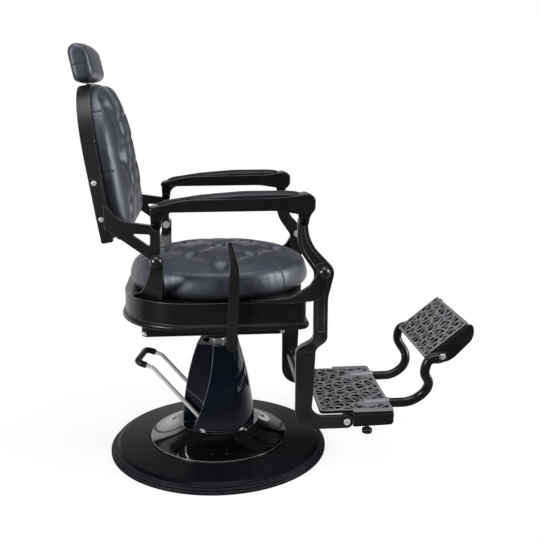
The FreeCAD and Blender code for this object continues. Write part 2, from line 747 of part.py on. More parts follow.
horn = horn.removeSplitter()
save("front_horn_right", horn)
save("front_horn_left", mirrored(horn))
bolt_hole = upright(*horn_bolt, horn_bolt_radius + clear, pan_top - 2 * pan_sheet, pan_top + 1)
save("seat_pan", seat_pan.cut(bolt_hole).cut(mirrored(bolt_hole)).removeSplitter())
save("horn_bolts", *pair(hex_bolt(*horn_bolt, pan_top + pad_thickness, 4, 10, horn_bolt_radius,
                                  pan_top - pan_sheet)))

# Pivot pins with a round head inside and a ball cap outside
pins = []
caps = []
for pivot in (pivot_a, pivot_d):
    pin = cross_pin(pivot, pivot_pin_radius, inner_back - clear, outer_face)
    head = cross_pin(pivot, pivot_pin_radius + 5, inner_back - clear - 7, inner_back - clear)
    pins += pair(pin.fuse(head).removeSplitter())
    ball_y = -(outer_face + 0.55 * pivot_ball_radius)
    ball = Part.makeSphere(pivot_ball_radius, Vector(pivot[0], ball_y, pivot[1]))
    inside = cross_pin(pivot, 2 * pivot_ball_radius, outer_face - 2 * pivot_ball_radius, outer_face)
    caps += pair(ball.cut(inside))
save("pivot_pins", *pins)
save("pivot_caps", *caps)

# Back frame: a flat hoop round the back, leaning from its foot


def leaned(shape):
    """Lean a back piece from upright about the foot of the back."""
    tipped = shape.copy()
    tipped.rotate(Vector(back_x, 0, back_z), Vector(0, 1, 0), -back_lean)
    return tipped


def back_outline(inset, x, drop=0.0):
    """Outline of the back, seen from the front, at a distance in front of the hoop's rear face."""
    half_width = back_half_width - inset
    foot_round = max(back_foot_radius - inset, 3.0)
    top_round = max(back_top_radius - inset, 6.0)
    corners = [(-half_width, inset - drop, foot_round), (half_width, inset - drop, foot_round),
               (half_width, back_height - inset, top_round), (-half_width, back_height - inset, top_round)]
    return rounded_wire([(Vector(back_x + x, y, back_z + z), r) for y, z, r in corners])


def back_block(inset, x_from, x_to):
    """Solid of the back's outline between two depths."""
    return Part.Face(back_outline(inset, x_from)).extrude(Vector(x_to - x_from, 0, 0))


post_back = back_cushion_start - post_thickness - 4.0
hoop = back_block(0, 0, back_depth).cut(back_block(back_band, -1, back_depth + 1))
slot_half = post_width / 2 + clear
hoop_slot = Part.makeBox(post_thickness + 2 * clear, 2 * slot_half, 3 * back_band,
                         Vector(back_x + post_back - clear, -slot_half, back_z + back_height - 2 * back_band))
hoop = hoop.cut(hoop_slot)
save("back_frame", leaned(hoop))
cover_thickness = 5.0
save("back_cover", leaned(back_block(back_band + clear, 1.5, 1.5 + cover_thickness)))

# Back cushion: boxed sides, a rolled front edge and a crown, drawn in at its buttons
front_depth = back_cushion_start + back_cushion_depth
overlap = 8.0
foot_drop = 14.0
swell = back_depth + 1.5
profile = [(back_cushion_start, 1.0), (swell, 1.0), (swell + 1.0, -overlap), (front_depth - 40, -overlap),
           (front_depth - 30, -1.0), (front_depth - 22, 12.0), (front_depth - 15, 32.0),
           (front_depth - 9, 58.0), (front_depth - 4, 90.0), (front_depth, 125.0)]
rings = [back_outline(back_band + inset, x, foot_drop if x > swell else 0.0) for x, inset in profile]
back_cushion = Part.makeLoft(rings, True, True)
back_tufts = []
for j in range(5):
    for i in range(-2, 3):
        if (i + j) % 2 == 0:
            back_tufts.append((i * back_tuft_pitch_y, 62.0 + j * back_tuft_pitch_z))


def back_surface(y, z):
    """Depth of the back cushion's crown at a button."""
    reach = min(z, back_height - z, back_half_width - abs(y)) - back_band
    for (x_low, low), (x_high, high) in zip(profile[3:], profile[4:]):
        if low <= reach < high:
            return x_low + (x_high - x_low) * (reach - low) / (high - low)
    return front_depth


for y, z in back_tufts:
    middle = Vector(back_x + back_surface(y, z) + dimple_radius - dimple_depth, y, back_z + z)
    back_cushion = back_cushion.cut(Part.makeSphere(dimple_radius, middle))
back_buttons = []
for y, z in back_tufts:
    floor = back_x + back_surface(y, z) - dimple_depth
    sag = dimple_radius - math.sqrt(dimple_radius ** 2 - button_radius ** 2)
    rear = Vector(floor + sag + seated, y, back_z + z)
    button = Part.makeCylinder(button_radius, button_height - sag, rear, Vector(1, 0, 0))
    back_buttons.append(leaned(button))
save("back_cushion", leaned(back_cushion))
save("back_buttons", *back_buttons)

# Headrest: a boxed pillow on a flat post that slides in a sleeve under the hoop's top
socket_wall = 3.0
socket_top = back_z + back_height - back_band
socket = Part.makeBox(post_thickness + 2 * socket_wall, post_width + 2 * socket_wall, socket_length,
                      Vector(back_x + post_back - socket_wall, -post_width / 2 - socket_wall,
                             socket_top - socket_length))
socket = socket.cut(hoop_slot)
socket_bore = Part.makeBox(post_thickness + 2 * clear, post_width + 2 * clear, socket_length + 2,
                           Vector(back_x + post_back - clear, -post_width / 2 - clear,
                                  socket_top - socket_length - 1))
save("headrest_socket", leaned(socket.cut(socket_bore)))
headrest_foot = back_height + headrest_gap
pocket_top = headrest_foot + 0.75 * headrest_height
post_foot = back_height - back_band - socket_length + 12.0
post = Part.makeBox(post_thickness, post_width, pocket_top - post_foot,
                    Vector(back_x + post_back, -post_width / 2, back_z + post_foot))
save("headrest_post", leaned(post))
pillow_back = post_back + post_thickness / 2 - 0.4 * headrest_depth


def pillow_section(y, swell):
    """Side outline of the pillow at a distance off the middle, grown or shrunk by swell."""
    x0 = back_x + pillow_back - swell
    x1 = back_x + pillow_back + headrest_depth + swell
    z0 = back_z + headrest_foot - min(swell, 0)
    z1 = back_z + headrest_foot + headrest_height + swell
    corners = [(x0 + 6, z0, 16), (x1 - 2, z0 + 4, 24), (x1 - 8, z1 - 3, 32), (x0 + 3, z1, 22)]
    return rounded_wire([(Vector(x, y, z), r) for x, z, r in corners])


half_pillow = headrest_width / 2
pillow_profile = [(-half_pillow, -12), (-half_pillow + 4, -5), (-half_pillow + 14, -0.5),
                  (-half_pillow / 3, 2), (half_pillow / 3, 2), (half_pillow - 14, -0.5),
                  (half_pillow - 4, -5), (half_pillow, -12)]
pillow = Part.makeLoft([pillow_section(y, swell) for y, swell in pillow_profile], True, True)
pocket_corner = Vector(back_x + post_back - seated, -post_width / 2 - seated, back_z + headrest_foot - 40)
pocket = Part.makeBox(post_thickness + 2 * seated, post_width + 2 * seated,
                      pocket_top - headrest_foot + 40 + seated, pocket_corner)
save("headrest_cushion", leaned(pillow.cut(pocket)))

# Side links: triangular castings bolted to the hoop, with eyes at pivots A and B
bx, bz = pivot_b
link_half = 13.0
knuckle = (back_x + 22.0, back_z + 58.0)
kx, kz = knuckle
post_half = 12.0
link_outline = [(kx - 8, kz + 48, 4), (kx + 26, kz + 1, 60), (bx + post_half - 3, bz - 4, 0),
                (ax + post_half - 3, az, 0), (ax - 6, az - 7, 6), (kx, kz - 23, 12), (kx - 8, kz - 20, 4)]
link = side_plate(link_outline, inner_back, inner_face)
link = link.fuse(cross_pin(pivot_b, link_half, inner_back, inner_face))
window = side_plate([(bx - 68, bz - 21, 4), (bx - post_half - 5, bz - 24, 5),
                     (ax - post_half - 4, az + 33, 4)], inner_back - 1, inner_face + 1)
link = link.cut(window)
stile_plate = Part.makeBox(back_depth - 4, 9, 168, Vector(back_x + 2, -back_half_width - 9, back_z - 4))
stile_plate = stile_plate.makeFillet(5, [e for e in stile_plate.Edges if e.BoundBox.YLength > 8.9])
link = link.fuse(leaned(stile_plate))
knuckle_block = side_plate([(kx - 6, kz + 45, 5), (kx + 10, kz + 20, 10), (kx + 22, kz + 4, 6),
                            (kx + 22, kz - 36, 6), (kx, kz - 20, 4), (kx - 6, kz - 18, 4)],
                           back_half_width, inner_face)
link = link.fuse(knuckle_block)
link = link.fuse(cross_pin(pivot_a, eye_radius, inner_back, inner_face))
link = link.cut(cross_pin(pivot_a, pivot_pin_radius + running, inner_back - 1, inner_face + 1))
link = link.cut(cross_pin(pivot_b, arm_screw_radius + seated, inner_back - 1, inner_face + 1))
link = link.removeSplitter()
save("side_link_right", link)
save("side_link_left", mirrored(link))
frame_screws = []
for height in (58.0, 152.0):
    seat_point = Vector(back_x + 14, -back_half_width - 9, back_z + height)
    screw = Part.makeCylinder(6.5, 3.5, seat_point, Vector(0, -1, 0))
    screw = screw.makeFillet(1.5, [max(screw.Edges, key=lambda e: -e.BoundBox.YMin)])
    frame_screws += pair(leaned(screw))
save("frame_screws", *frame_screws)


def arm_screw(pivot, fixed_back, fixed_face, far_face):
    """Screw fixed in one layer of the linkage, with a nut inside and a domed head outside."""
    shank = cross_pin(pivot, arm_screw_radius, fixed_back - 5, far_face + clear)
    nut = cross_pin(pivot, arm_screw_radius + 4, fixed_back - 6, fixed_back)
    head = cross_pin(pivot, arm_screw_radius + 4, far_face + clear, far_face + clear + 4)
    head = head.makeFillet(2.0, [min(head.Edges, key=lambda e: e.BoundBox.YMax)])
    return shank.fuse(nut).fuse(head).removeSplitter()


save("arm_rear_screws", *pair(arm_screw(pivot_b, inner_back, inner_face, outer_face)))
save("arm_front_screws", *pair(arm_screw(pivot_c, inner_back, inner_face, outer_face)))

# Armrests: cast arms with a lug down to each pivot and a padded top
cx, cz = pivot_c
arm_rear = bx - 13.0
arm_top = [(arm_rear, bz + 46), ((bx + cx) / 2, bz + 70), (cx - 14, cz + 66)]
arm_outline = [(bx - 16, bz + 33, 9), (bx - 15, bz + 48, 11), (bx + 70, bz + 68, 300),
               (cx - 50, cz + 67, 300), (cx + 7, cz + 75, 14), (cx + 29, cz + 64, 12),
               (cx + 28, cz + 34, 18), (cx + 18, cz + 21, 10), (cx - 16, cz + 22, 20),
               (cx - 71, cz + 31, 150), (bx + 42, bz + 35, 150)]
arm = side_plate(arm_outline, arm_half_spacing - arm_half_width, arm_half_spacing + arm_half_width)
arm = arm.makeFillet(arm_round, [e for e in arm.Edges if e.BoundBox.YLength < 0.01])
lug_radius = 13.0
rear_lug = side_plate([(bx - 13, bz + 46, 0), (bx - 14, bz + 20, 12), (bx - lug_radius, bz, 0),
                       (bx + lug_radius, bz, 0), (bx + 15, bz + 22, 22), (bx + 44, bz + 37, 0)],
                      outer_back, outer_face)
front_lug = side_plate([(cx - 18, cz + 34, 0), (cx - lug_radius, cz + 10, 10), (cx - lug_radius, cz, 0),
                        (cx + lug_radius, cz, 0), (cx + 15, cz + 12, 14), (cx + 24, cz + 28, 0)],
                       outer_back, outer_face)
arm = arm.fuse(rear_lug).fuse(cross_pin(pivot_b, lug_radius, outer_back, outer_face))
arm = arm.fuse(front_lug).fuse(cross_pin(pivot_c, lug_radius, outer_back, outer_face))
arm = arm.cut(cross_pin(pivot_b, arm_screw_radius + running, outer_back - 1, outer_face + 1))
arm = arm.cut(cross_pin(pivot_c, arm_screw_radius + linkage_play, outer_back - 1, outer_face + 1))
arm = arm.removeSplitter()
save("arm_right", arm)
save("arm_left", mirrored(arm))

pad_rear = arm_rear + 16.0
pad_front = cx - 12.0


def arm_top_height(x):
    """Height of the arm's bowed top at a place along it."""
    curve = arc(arm_top[0], arm_top[1], arm_top[2]).Curve
    centre = curve.Center
    return centre.z + math.sqrt(curve.Radius ** 2 - (x - centre.x) ** 2)


def pad_section(x, rise, half_width):
    """Cross outline of the pad at a place along the arm."""
    z = arm_top_height(x) - arm_pad_skirt
    y = -arm_half_spacing
    shoulder_height = z + arm_pad_skirt + 0.35 * rise
    low_right = Vector(x, y - half_width, z)
    low_left = Vector(x, y + half_width, z)
    high_right = Vector(x, y - half_width, shoulder_height)
    high_left = Vector(x, y + half_width, shoulder_height)
    return Part.Wire([Part.LineSegment(low_left, low_right).toShape(),
                      Part.LineSegment(low_right, high_right).toShape(),
                      Part.Arc(high_right, Vector(x, y, z + arm_pad_skirt + rise), high_left).toShape(),
                      Part.LineSegment(high_left, low_left).toShape()])


pad_stations = [(0.0, 0.25, 0.6), (0.02, 0.7, 0.86), (0.06, 0.95, 1.0), (0.3, 1.0, 1.0), (0.6, 1.0, 1.0),
                (0.9, 1.0, 1.0), (0.97, 0.9, 0.97), (1.0, 0.75, 0.9)]
pad_sections = []
for share, rise, width in pad_stations:
    along = pad_rear + share * (pad_front - pad_rear)
    pad_sections.append(pad_section(along, rise * arm_pad_rise, width * arm_pad_half_width))
arm_pad = Part.makeLoft(pad_sections, True, True)
arm_pad = arm_pad.cut(arm)
save("arm_pad_right", arm_pad)
save("arm_pad_left", mirrored(arm_pad))

# Legs: one casting a side, curved post above pivot D, straight leg below, stepping in to the deck
leg_in = leg_half_spacing - leg_thickness / 2
leg_out = leg_half_spacing + leg_thickness / 2
leg_width = 38.0
jog_top = pan_foot - 12.0
jog_foot = jog_top - 82.0
leg_x = dx - 2.5
rise = cz - dz
leg_outline = [(cx - 14, cz + 13, 12), (cx + 13, cz + 13, 12), (cx + 13.5, cz - 0.4 * rise, 0.84 * rise),
               (dx + 35, dz + 1, 36), (leg_x + leg_width / 2, dz - 75, 70),
               (leg_x + leg_width / 2, jog_top, 0), (leg_x - leg_width / 2, jog_top, 0),
               (leg_x - leg_width / 2, dz - 4, 26), (cx - 14, dz + 0.46 * rise, 0.7 * rise)]
leg = side_plate(leg_outline, inner_back, inner_face)
leg_rims = [e for e in leg.Edges if e.BoundBox.YLength < 0.01 and e.BoundBox.ZMax > jog_top + 1]
leg = leg.makeFillet(leg_edge, leg_rims)
groove = side_face(leg_outline, -inner_face).makeOffset2D(-leg_groove_inset)
leg = leg.cut(groove.extrude(Vector(0, leg_groove_depth, 0)))
shin_width = 56.0
shin_x = deck_pivot[0] - 122.0


def leg_section(share):
    """Level section of the leg at a share of its step inward."""
    along = share * share * (3 - 2 * share)
    x_mid = leg_x + along * (shin_x - leg_x)
    half = (leg_width + along * (shin_width - leg_width)) / 2
    swell = 6.0 * math.sin(math.pi * share)
    y_in = inner_back + along * (leg_in - inner_back) - swell
    y_out = inner_face + along * (leg_out - inner_face) + swell
    z = jog_top + share * (jog_foot - jog_top)
    points = [Vector(x_mid - half, -y_in, z), Vector(x_mid + half, -y_in, z),
              Vector(x_mid + half, -y_out, z), Vector(x_mid - half, -y_out, z)]
    return Part.makePolygon(points + [points[0]])


jog = Part.makeLoft([leg_section(step / 8) for step in range(9)], True, True)
bar_half = deck_bar_height / 2
px, pz = deck_pivot
shin_outline = [(shin_x - shin_width / 2, jog_foot, 0), (shin_x + shin_width / 2, jog_foot, 0),
                (shin_x + shin_width / 2 - 6, pz + bar_half + 60, 30),
                (shin_x + shin_width / 2 - 12, pz + bar_half, 34), (px, pz + bar_half, 0),
                (px + bar_half, pz + bar_half, bar_half - 0.01),
                (px + bar_half, pz - bar_half, bar_half - 0.01),
                (shin_x - shin_width / 2, pz - bar_half, 52)]
leg = leg.fuse(jog).fuse(side_plate(shin_outline, leg_in, leg_out))
leg = leg.fuse(cross_pin(pivot_d, eye_radius + 4, inner_back, inner_face))
deck_bolt_radius = 6.0
leg = leg.cut(cross_pin(pivot_d, pivot_pin_radius + running, inner_back - 1, inner_face + 1))
leg = leg.cut(cross_pin(pivot_c, arm_screw_radius + seated, inner_back - 1, inner_face + 1))
leg = leg.cut(cross_pin(deck_pivot, deck_bolt_radius + seated, leg_in - 1, leg_out + 1))
leg = leg.removeSplitter()
save("leg_right", leg)
save("leg_left", mirrored(leg))
crossbar_at = (shin_x - 4.0, pz + 86.0)
crossbar = cross_pin(crossbar_at, 12.0, -leg_in, leg_in)
for side in (-1, 1):
    flange = cross_pin(crossbar_at, 20.0, *sorted((side * leg_in, side * (leg_in - 6))))
    crossbar = crossbar.fuse(flange)
save("leg_crossbar", crossbar.removeSplitter())

# Deck: side rails hinged on the legs, a cast web plate, and bumpers under the rails
rail_gap = 0.5
rail_back = px + bar_half + rail_gap
deck_top = pz + bar_half + deck_thickness + 1.5
tongue_thickness = 8.0
tongue_out = leg_in - clear
tongue_in = tongue_out - tongue_thickness
deck_bolt = cross_pin(deck_pivot, deck_bolt_radius, tongue_in, leg_out)
deck_bolt_head = cross_pin(deck_pivot, deck_bolt_radius + 3.5, leg_out, leg_out + 5)
deck_bolt_head = deck_bolt_head.makeFillet(2.5, [min(deck_bolt_head.Edges, key=lambda e: e.BoundBox.YMax)])
save("deck_pivot_bolts", *pair(deck_bolt.fuse(deck_bolt_head).removeSplitter()))
deck_foot = deck_top - deck_thickness
rail_drop = 16.0
rail = side_plate([(rail_back, pz - rail_drop, 2), (deck_front - 3, pz - rail_drop + 3, 10),
                   (deck_front - 1, deck_foot, 0), (rail_back, deck_foot, 0)], leg_in, leg_out)
tongue = side_plate([(px - 17, pz - 12, 10), (px + 60, pz - 12, 6), (px + 60, deck_foot, 0),
                     (px - 4, deck_foot, 14), (px - 17, pz + 10, 8)], tongue_in, tongue_out)
bridge = side_plate([(rail_back, pz - 12, 0), (px + 60, pz - 12, 6), (px + 60, deck_foot, 0),
                     (rail_back, deck_foot, 0)], tongue_in, leg_out)
rail = rail.fuse(tongue).fuse(bridge)
rail = rail.cut(cross_pin(deck_pivot, deck_bolt_radius + running, tongue_in - 1, leg_out + 1))
rail = rail.removeSplitter()
save("deck_rail_right", rail)
save("deck_rail_left", mirrored(rail))


def web_holes(length, width, pitch_u, pitch_v, margin, keep_out):
    """Triangular openings of an irregular web over a plate, as corner lists in plate coordinates."""
    columns = int((length - 2 * margin) / pitch_u)
    rows = int((width - 2 * margin) / pitch_v)
    step_u = (length - 2 * margin) / columns
    step_v = (width - 2 * margin) / rows

    def node(i, j):
        sway = 0.0 if i in (0, columns) else 0.30 * step_u
        swing = 0.0 if j in (0, rows) else 0.26 * step_v
        u = margin + i * step_u + sway * math.sin(2.4 * i + 4.1 * j)
        v = -width / 2 + margin + j * step_v + swing * math.cos(3.7 * i + 1.9 * j)
        return u, v

    holes = []
    for i in range(columns):
        for j in range(rows):
            a, b, c, d = node(i, j), node(i + 1, j), node(i + 1, j + 1), node(i, j + 1)
            halves = ((a, b, c), (a, c, d)) if (i + j) % 2 else ((a, b, d), (b, c, d))
            for triangle in halves:
                sides = [math.dist(triangle[(k + 1) % 3], triangle[(k + 2) % 3]) for k in range(3)]
                whole = sum(sides)
                centre = [sum(sides[k] * triangle[k][n] for k in range(3)) / whole for n in (0, 1)]
                area = abs((triangle[1][0] - triangle[0][0]) * (triangle[2][1] - triangle[0][1])
                           - (triangle[2][0] - triangle[0][0]) * (triangle[1][1] - triangle[0][1])) / 2
                inner = 2 * area / whole
                if inner < 0.75 * web_width or keep_out(*centre):
                    continue
                shrink = 1 - web_width / 2 / inner
                holes.append([(centre[0] + (p[0] - centre[0]) * shrink,
                               centre[1] + (p[1] - centre[1]) * shrink) for p in triangle])
    return holes


def web_plate(outline, holes, thickness):
    """Plate with openings, lying level with its underside at height zero."""
    plate = top_plate(outline, 0, thickness)
    prisms = [top_plate([(u, v, 0) for u, v in hole], -1, thickness + 1) for hole in holes]
    return plate.cut(Part.makeCompound(prisms))


deck_length = deck_front - deck_back
neck = rail_back - deck_back
neck_half = leg_in - clear - 1.2
socket_radius = foot_bar_radius + 3.0
socket_start = deck_length - 74.0


def under_socket(u, v):
    """True where a foot bar's socket covers the deck."""
    return u > socket_start - 14 and abs(abs(v) - foot_bar_half_spacing) < socket_radius + 6


deck_outline = [(0, -neck_half, 12), (neck, -neck_half, 1), (neck, -deck_half_width, 4),
                (deck_length, -deck_half_width, 12), (deck_length, deck_half_width, 12),
                (neck, deck_half_width, 4), (neck, neck_half, 1), (0, neck_half, 12)]
deck_holes = web_holes(deck_length, 2 * neck_half, 31.0, 22.0, 7.0, under_socket)
deck = web_plate(deck_outline, deck_holes, deck_thickness)
deck.translate(Vector(deck_back, 0, deck_foot))
bar_z = deck_foot + 2.0
spigot_radius = 8.0
spigot_length = 40.0
for side in (-1, 1):
    y = side * foot_bar_half_spacing
    sleeve = Part.makeCone(socket_radius - 6, socket_radius, deck_length - socket_start,
                           Vector(deck_back + socket_start, y, bar_z), Vector(1, 0, 0))
    deck = deck.fuse(sleeve)
for side in (-1, 1):
    y = side * foot_bar_half_spacing
    socket_end = Vector(deck_front - spigot_length, y, bar_z)
    deck = deck.cut(Part.makeCylinder(spigot_radius + seated, spigot_length + 1, socket_end, Vector(1, 0, 0)))
save("deck_plate", deck.removeSplitter())
bumper_x = px + 61.0
bumper_z = pz - rail_drop
bumper = upright(bumper_x, -leg_half_spacing, 5.0, bumper_z - 10, bumper_z + 1.2)
bumper = bumper.fuse(upright(bumper_x, -leg_half_spacing, 15.0, bumper_z - 22, bumper_z - 8))
tip_edges = [e for e in bumper.Edges if e.BoundBox.ZLength < 0.01 and abs(e.BoundBox.XLength - 30) < 0.5]
bumper = bumper.makeFillet(4.0, tip_edges)
rail_under = side_plate([(rail_back, pz - rail_drop, 2), (deck_front - 3, pz - rail_drop + 3, 10),
                         (deck_front - 1, deck_foot, 0), (rail_back, deck_foot, 0)], leg_in, leg_out)
save("deck_bumpers", *pair(bumper.cut(rail_under)))

# Foot bars: bent rods from the deck's sockets up to lugs beside the tread
lug_in = tread_half_width + clear
lug_out = lug_in + lug_thickness
bar_out = lug_in + foot_bar_radius
tx, tz = tread_pivot
fy = foot_bar_half_spacing
bar_path = [(Vector(deck_front, -fy, bar_z), 0), (Vector(tx - 74, -fy, bar_z), 80),
            (Vector(tx - 14, -fy - 6, tz - 110), 50), (Vector(tx - 54, -bar_out, tz - 46), 40),
            (Vector(tx - 42, -bar_out, tz - 8), 22), (Vector(tx - 12, -bar_out, tz - 3), 0)]
foot_bar = swept_rod(bar_path, foot_bar_radius)
spigot_end = Vector(deck_front - spigot_length, -fy, bar_z)
spigot = Part.makeCylinder(spigot_radius, spigot_length, spigot_end, Vector(1, 0, 0))
foot_bar = foot_bar.fuse(spigot)
lug = side_plate([(tx - 48, tz - 16, 8), (tx - 10, tz - 17, 8), (tx + 14, tz - 14, 13),
                  (tx + 14, tz + 14, 13), (tx - 10, tz + 13, 8), (tx - 44, tz + 6, 8)], lug_in, lug_out)
foot_bar = foot_bar.fuse(lug)
foot_bar = foot_bar.cut(cross_pin(tread_pivot, tread_screw_radius + running, lug_in - 1, lug_out + 20))
foot_bar = foot_bar.removeSplitter()
save("foot_bar_right", foot_bar)
save("foot_bar_left", mirrored(foot_bar))

# Tread: a tilted cast web plate between two D-shaped cheeks, turning on screws in the lugs
pivot_along = 43.0
pivot_below = 20.0
cheek_thickness = 6.0


def tilted(shape):
    """Set a tread piece at its angle about the tread's pivot."""
    placed = shape.copy()
    placed.translate(Vector(tx - pivot_along, 0, tz + pivot_below))
    placed.rotate(Vector(tx, 0, tz), Vector(0, 1, 0), -tread_angle)
    return placed


tread_outline = [(0, -tread_half_width, 6), (tread_length, -tread_half_width, 8),
                 (tread_length, tread_half_width, 8), (0, tread_half_width, 6)]
tread_holes = web_holes(tread_length, 2 * tread_half_width, 30.0, 22.0, 6.0, lambda u, v: False)
tread = web_plate(tread_outline, tread_holes, tread_thickness)
save("tread_plate", tilted(tread))
cheek_in = tread_half_width - cheek_thickness
cheek = side_plate([(0, 0, 2), (16, -34, 20), (58, -53, 60), (tread_length - 10, -42, 46),
                    (tread_length + 8, -8, 10), (tread_length, 0, 0)], cheek_in, tread_half_width)
cheek_bore = cross_pin((pivot_along, -pivot_below), tread_screw_radius + seated, cheek_in - 1,
                       tread_half_width + 1)
cheek = cheek.cut(cheek_bore)
save("tread_cheek_right", tilted(cheek))
save("tread_cheek_left", tilted(mirrored(cheek)))
tread_screw = cross_pin(tread_pivot, tread_screw_radius, cheek_in - 4, lug_out + clear)
tread_screw = tread_screw.fuse(cross_pin(tread_pivot, tread_screw_radius + 4, cheek_in - 6, cheek_in))
screw_head = cross_pin(tread_pivot, tread_screw_radius + 4, lug_out + clear, lug_out + clear + 5)
screw_head = screw_head.makeFillet(2.5, [min(screw_head.Edges, key=lambda e: e.BoundBox.YMax)])
save("tread_screws", *pair(tread_screw.fuse(screw_head).removeSplitter()))
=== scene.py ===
import math

import bmesh
import bpy
import numpy as np
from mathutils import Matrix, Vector
from mathutils.bvhtree import BVHTree


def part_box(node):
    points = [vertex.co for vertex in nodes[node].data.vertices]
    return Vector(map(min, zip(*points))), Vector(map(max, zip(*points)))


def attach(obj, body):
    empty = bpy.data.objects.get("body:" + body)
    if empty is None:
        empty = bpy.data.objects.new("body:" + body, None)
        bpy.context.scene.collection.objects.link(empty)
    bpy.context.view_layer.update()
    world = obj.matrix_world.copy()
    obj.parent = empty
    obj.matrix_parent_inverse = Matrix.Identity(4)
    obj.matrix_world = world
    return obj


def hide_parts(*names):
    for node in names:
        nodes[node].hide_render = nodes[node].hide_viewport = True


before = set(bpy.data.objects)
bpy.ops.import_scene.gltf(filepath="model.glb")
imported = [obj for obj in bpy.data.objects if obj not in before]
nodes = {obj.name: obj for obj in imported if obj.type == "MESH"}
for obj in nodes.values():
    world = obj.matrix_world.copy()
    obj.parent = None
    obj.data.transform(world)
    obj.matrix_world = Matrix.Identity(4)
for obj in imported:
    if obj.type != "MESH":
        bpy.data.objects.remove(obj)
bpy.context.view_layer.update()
scene = bpy.context.scene
scene.view_settings.view_transform = "Standard"


# Camera: it stands at the chair's right side, a little above the arms, turned a few degrees
# towards the footrest and looking slightly down.
camera_down, camera_turn = 12.77, -5.0
camera = bpy.data.objects.new("camera", bpy.data.cameras.new("camera"))
camera.data.sensor_width = 36.0
camera.data.lens = 51.37
camera.location = (-0.0359, -2.2374, 1.0585)
camera.rotation_euler = (math.radians(90 - camera_down), 0, math.radians(camera_turn))
scene.collection.objects.link(camera)
scene.camera = camera


# Studio floor: seamless white paper that fades into a white room, with a soft shadow near the
# chair. It lies half a millimetre below the base, so that the two faces stay apart. Reflections
# see it dim, and bright only behind the chair.
class Thread:
    """A socket in a node tree. Arithmetic on it adds the Math nodes."""

    def __init__(self, tree, socket=None):
        self.tree = tree
        self.socket = socket

    def node(self, kind, settings=None, inputs=None, output=0):
        """Add a node, set its settings, then fill or link its sockets."""
        made = self.tree.nodes.new("ShaderNode" + kind)
        for name, value in (settings or {}).items():
            setattr(made, name, value)
        for name, value in (inputs or {}).items():
            if isinstance(value, Thread):
                self.tree.links.new(value.socket, made.inputs[name])
            else:
                made.inputs[name].default_value = value
        return Thread(self.tree, made.outputs[output] if made.outputs else None)

    def beside(self, output):
        """Another output of the same node."""
        return Thread(self.tree, self.socket.node.outputs[output])

    def maths(self, operation, *values):
        return self.node("Math", {"operation": operation}, dict(enumerate(values)))

    def __add__(self, other):
        return self.maths("ADD", self, other)

    __radd__ = __add__

    def __sub__(self, other):
        return self.maths("SUBTRACT", self, other)

    def __rsub__(self, other):
        return self.maths("SUBTRACT", other, self)

    def __mul__(self, other):
        return self.maths("MULTIPLY", self, other)

    __rmul__ = __mul__

    def ease(self, low, high, out_low=0.0, out_high=1.0):
        """Smooth step between two levels."""
        return self.node("MapRange", {"interpolation_type": "SMOOTHSTEP"},
                         {"Value": self, "From Min": low, "From Max": high,
                          "To Min": out_low, "To Max": out_high})

    def blend(self, first, second):
        """Colour between two colours, by this value."""
        factor, colour_a, colour_b, result = 0, 6, 7, 2
        return self.node("Mix", {"data_type": "RGBA"},
                         {factor: self, colour_a: first, colour_b: second}, result)

    def between(self, first, second):
        """Shader between two shaders, by this value."""
        return self.node("MixShader", None, {0: self, 1: first, 2: second})


def new_finish(name):
    """An empty material and the start of its nodes."""
    finish = bpy.data.materials.new(name)
    finish.use_nodes = True
    finish.node_tree.nodes.clear()
    return finish, Thread(finish.node_tree)


def own_place(start):
    """Coordinates that are fixed to the piece."""
    return start.node("TexCoord", output="Object")


def seen_directly(start):
    """The camera's rays, and these with reflections and clear glass. The rest is bounced light."""
    camera_ray = start.node("LightPath", output="Is Camera Ray")
    shown = start.maths("MAXIMUM", camera_ray, camera_ray.beside("Is Glossy Ray"))
    return camera_ray, start.maths("MAXIMUM", shown, camera_ray.beside("Is Transmission Ray"))


floor_radius, floor_gap = 14.0, 0.0005
floor_mesh = bpy.data.meshes.new("studio_floor")
floor_shape = bmesh.new()
bmesh.ops.create_circle(floor_shape, cap_ends=True, segments=96, radius=floor_radius)
floor_shape.to_mesh(floor_mesh)
floor_shape.free()
floor = bpy.data.objects.new("studio_floor", floor_mesh)
floor.location = (0, 0, -floor_gap)
scene.collection.objects.link(floor)
paper, start = new_finish("white_paper")
place = own_place(start)
far_off = start.node("VectorMath", {"operation": "LENGTH"}, {0: place}, "Value")
behind = start.node("SeparateXYZ", None, {"Vector": place}, "Y")
camera_ray, direct = seen_directly(start)
paper_white = direct * far_off.ease(0.25, 0.95, 0.84, 1.0)
paper_dim = behind.ease(-0.3, 0.9).blend((0.07, 0.07, 0.07, 1), (0.90, 0.90, 0.90, 1))
paper_tone = camera_ray.blend(paper_dim, (1, 1, 1, 1))
paper_body = start.node("BsdfDiffuse", None, {"Color": (0.86, 0.86, 0.86, 1)})
paper_glow = start.node("Emission", None, {"Color": paper_tone, "Strength": 1.0})
start.node("OutputMaterial", None, {"Surface": paper_white.between(paper_body, paper_glow)})
floor_mesh.materials.append(paper)


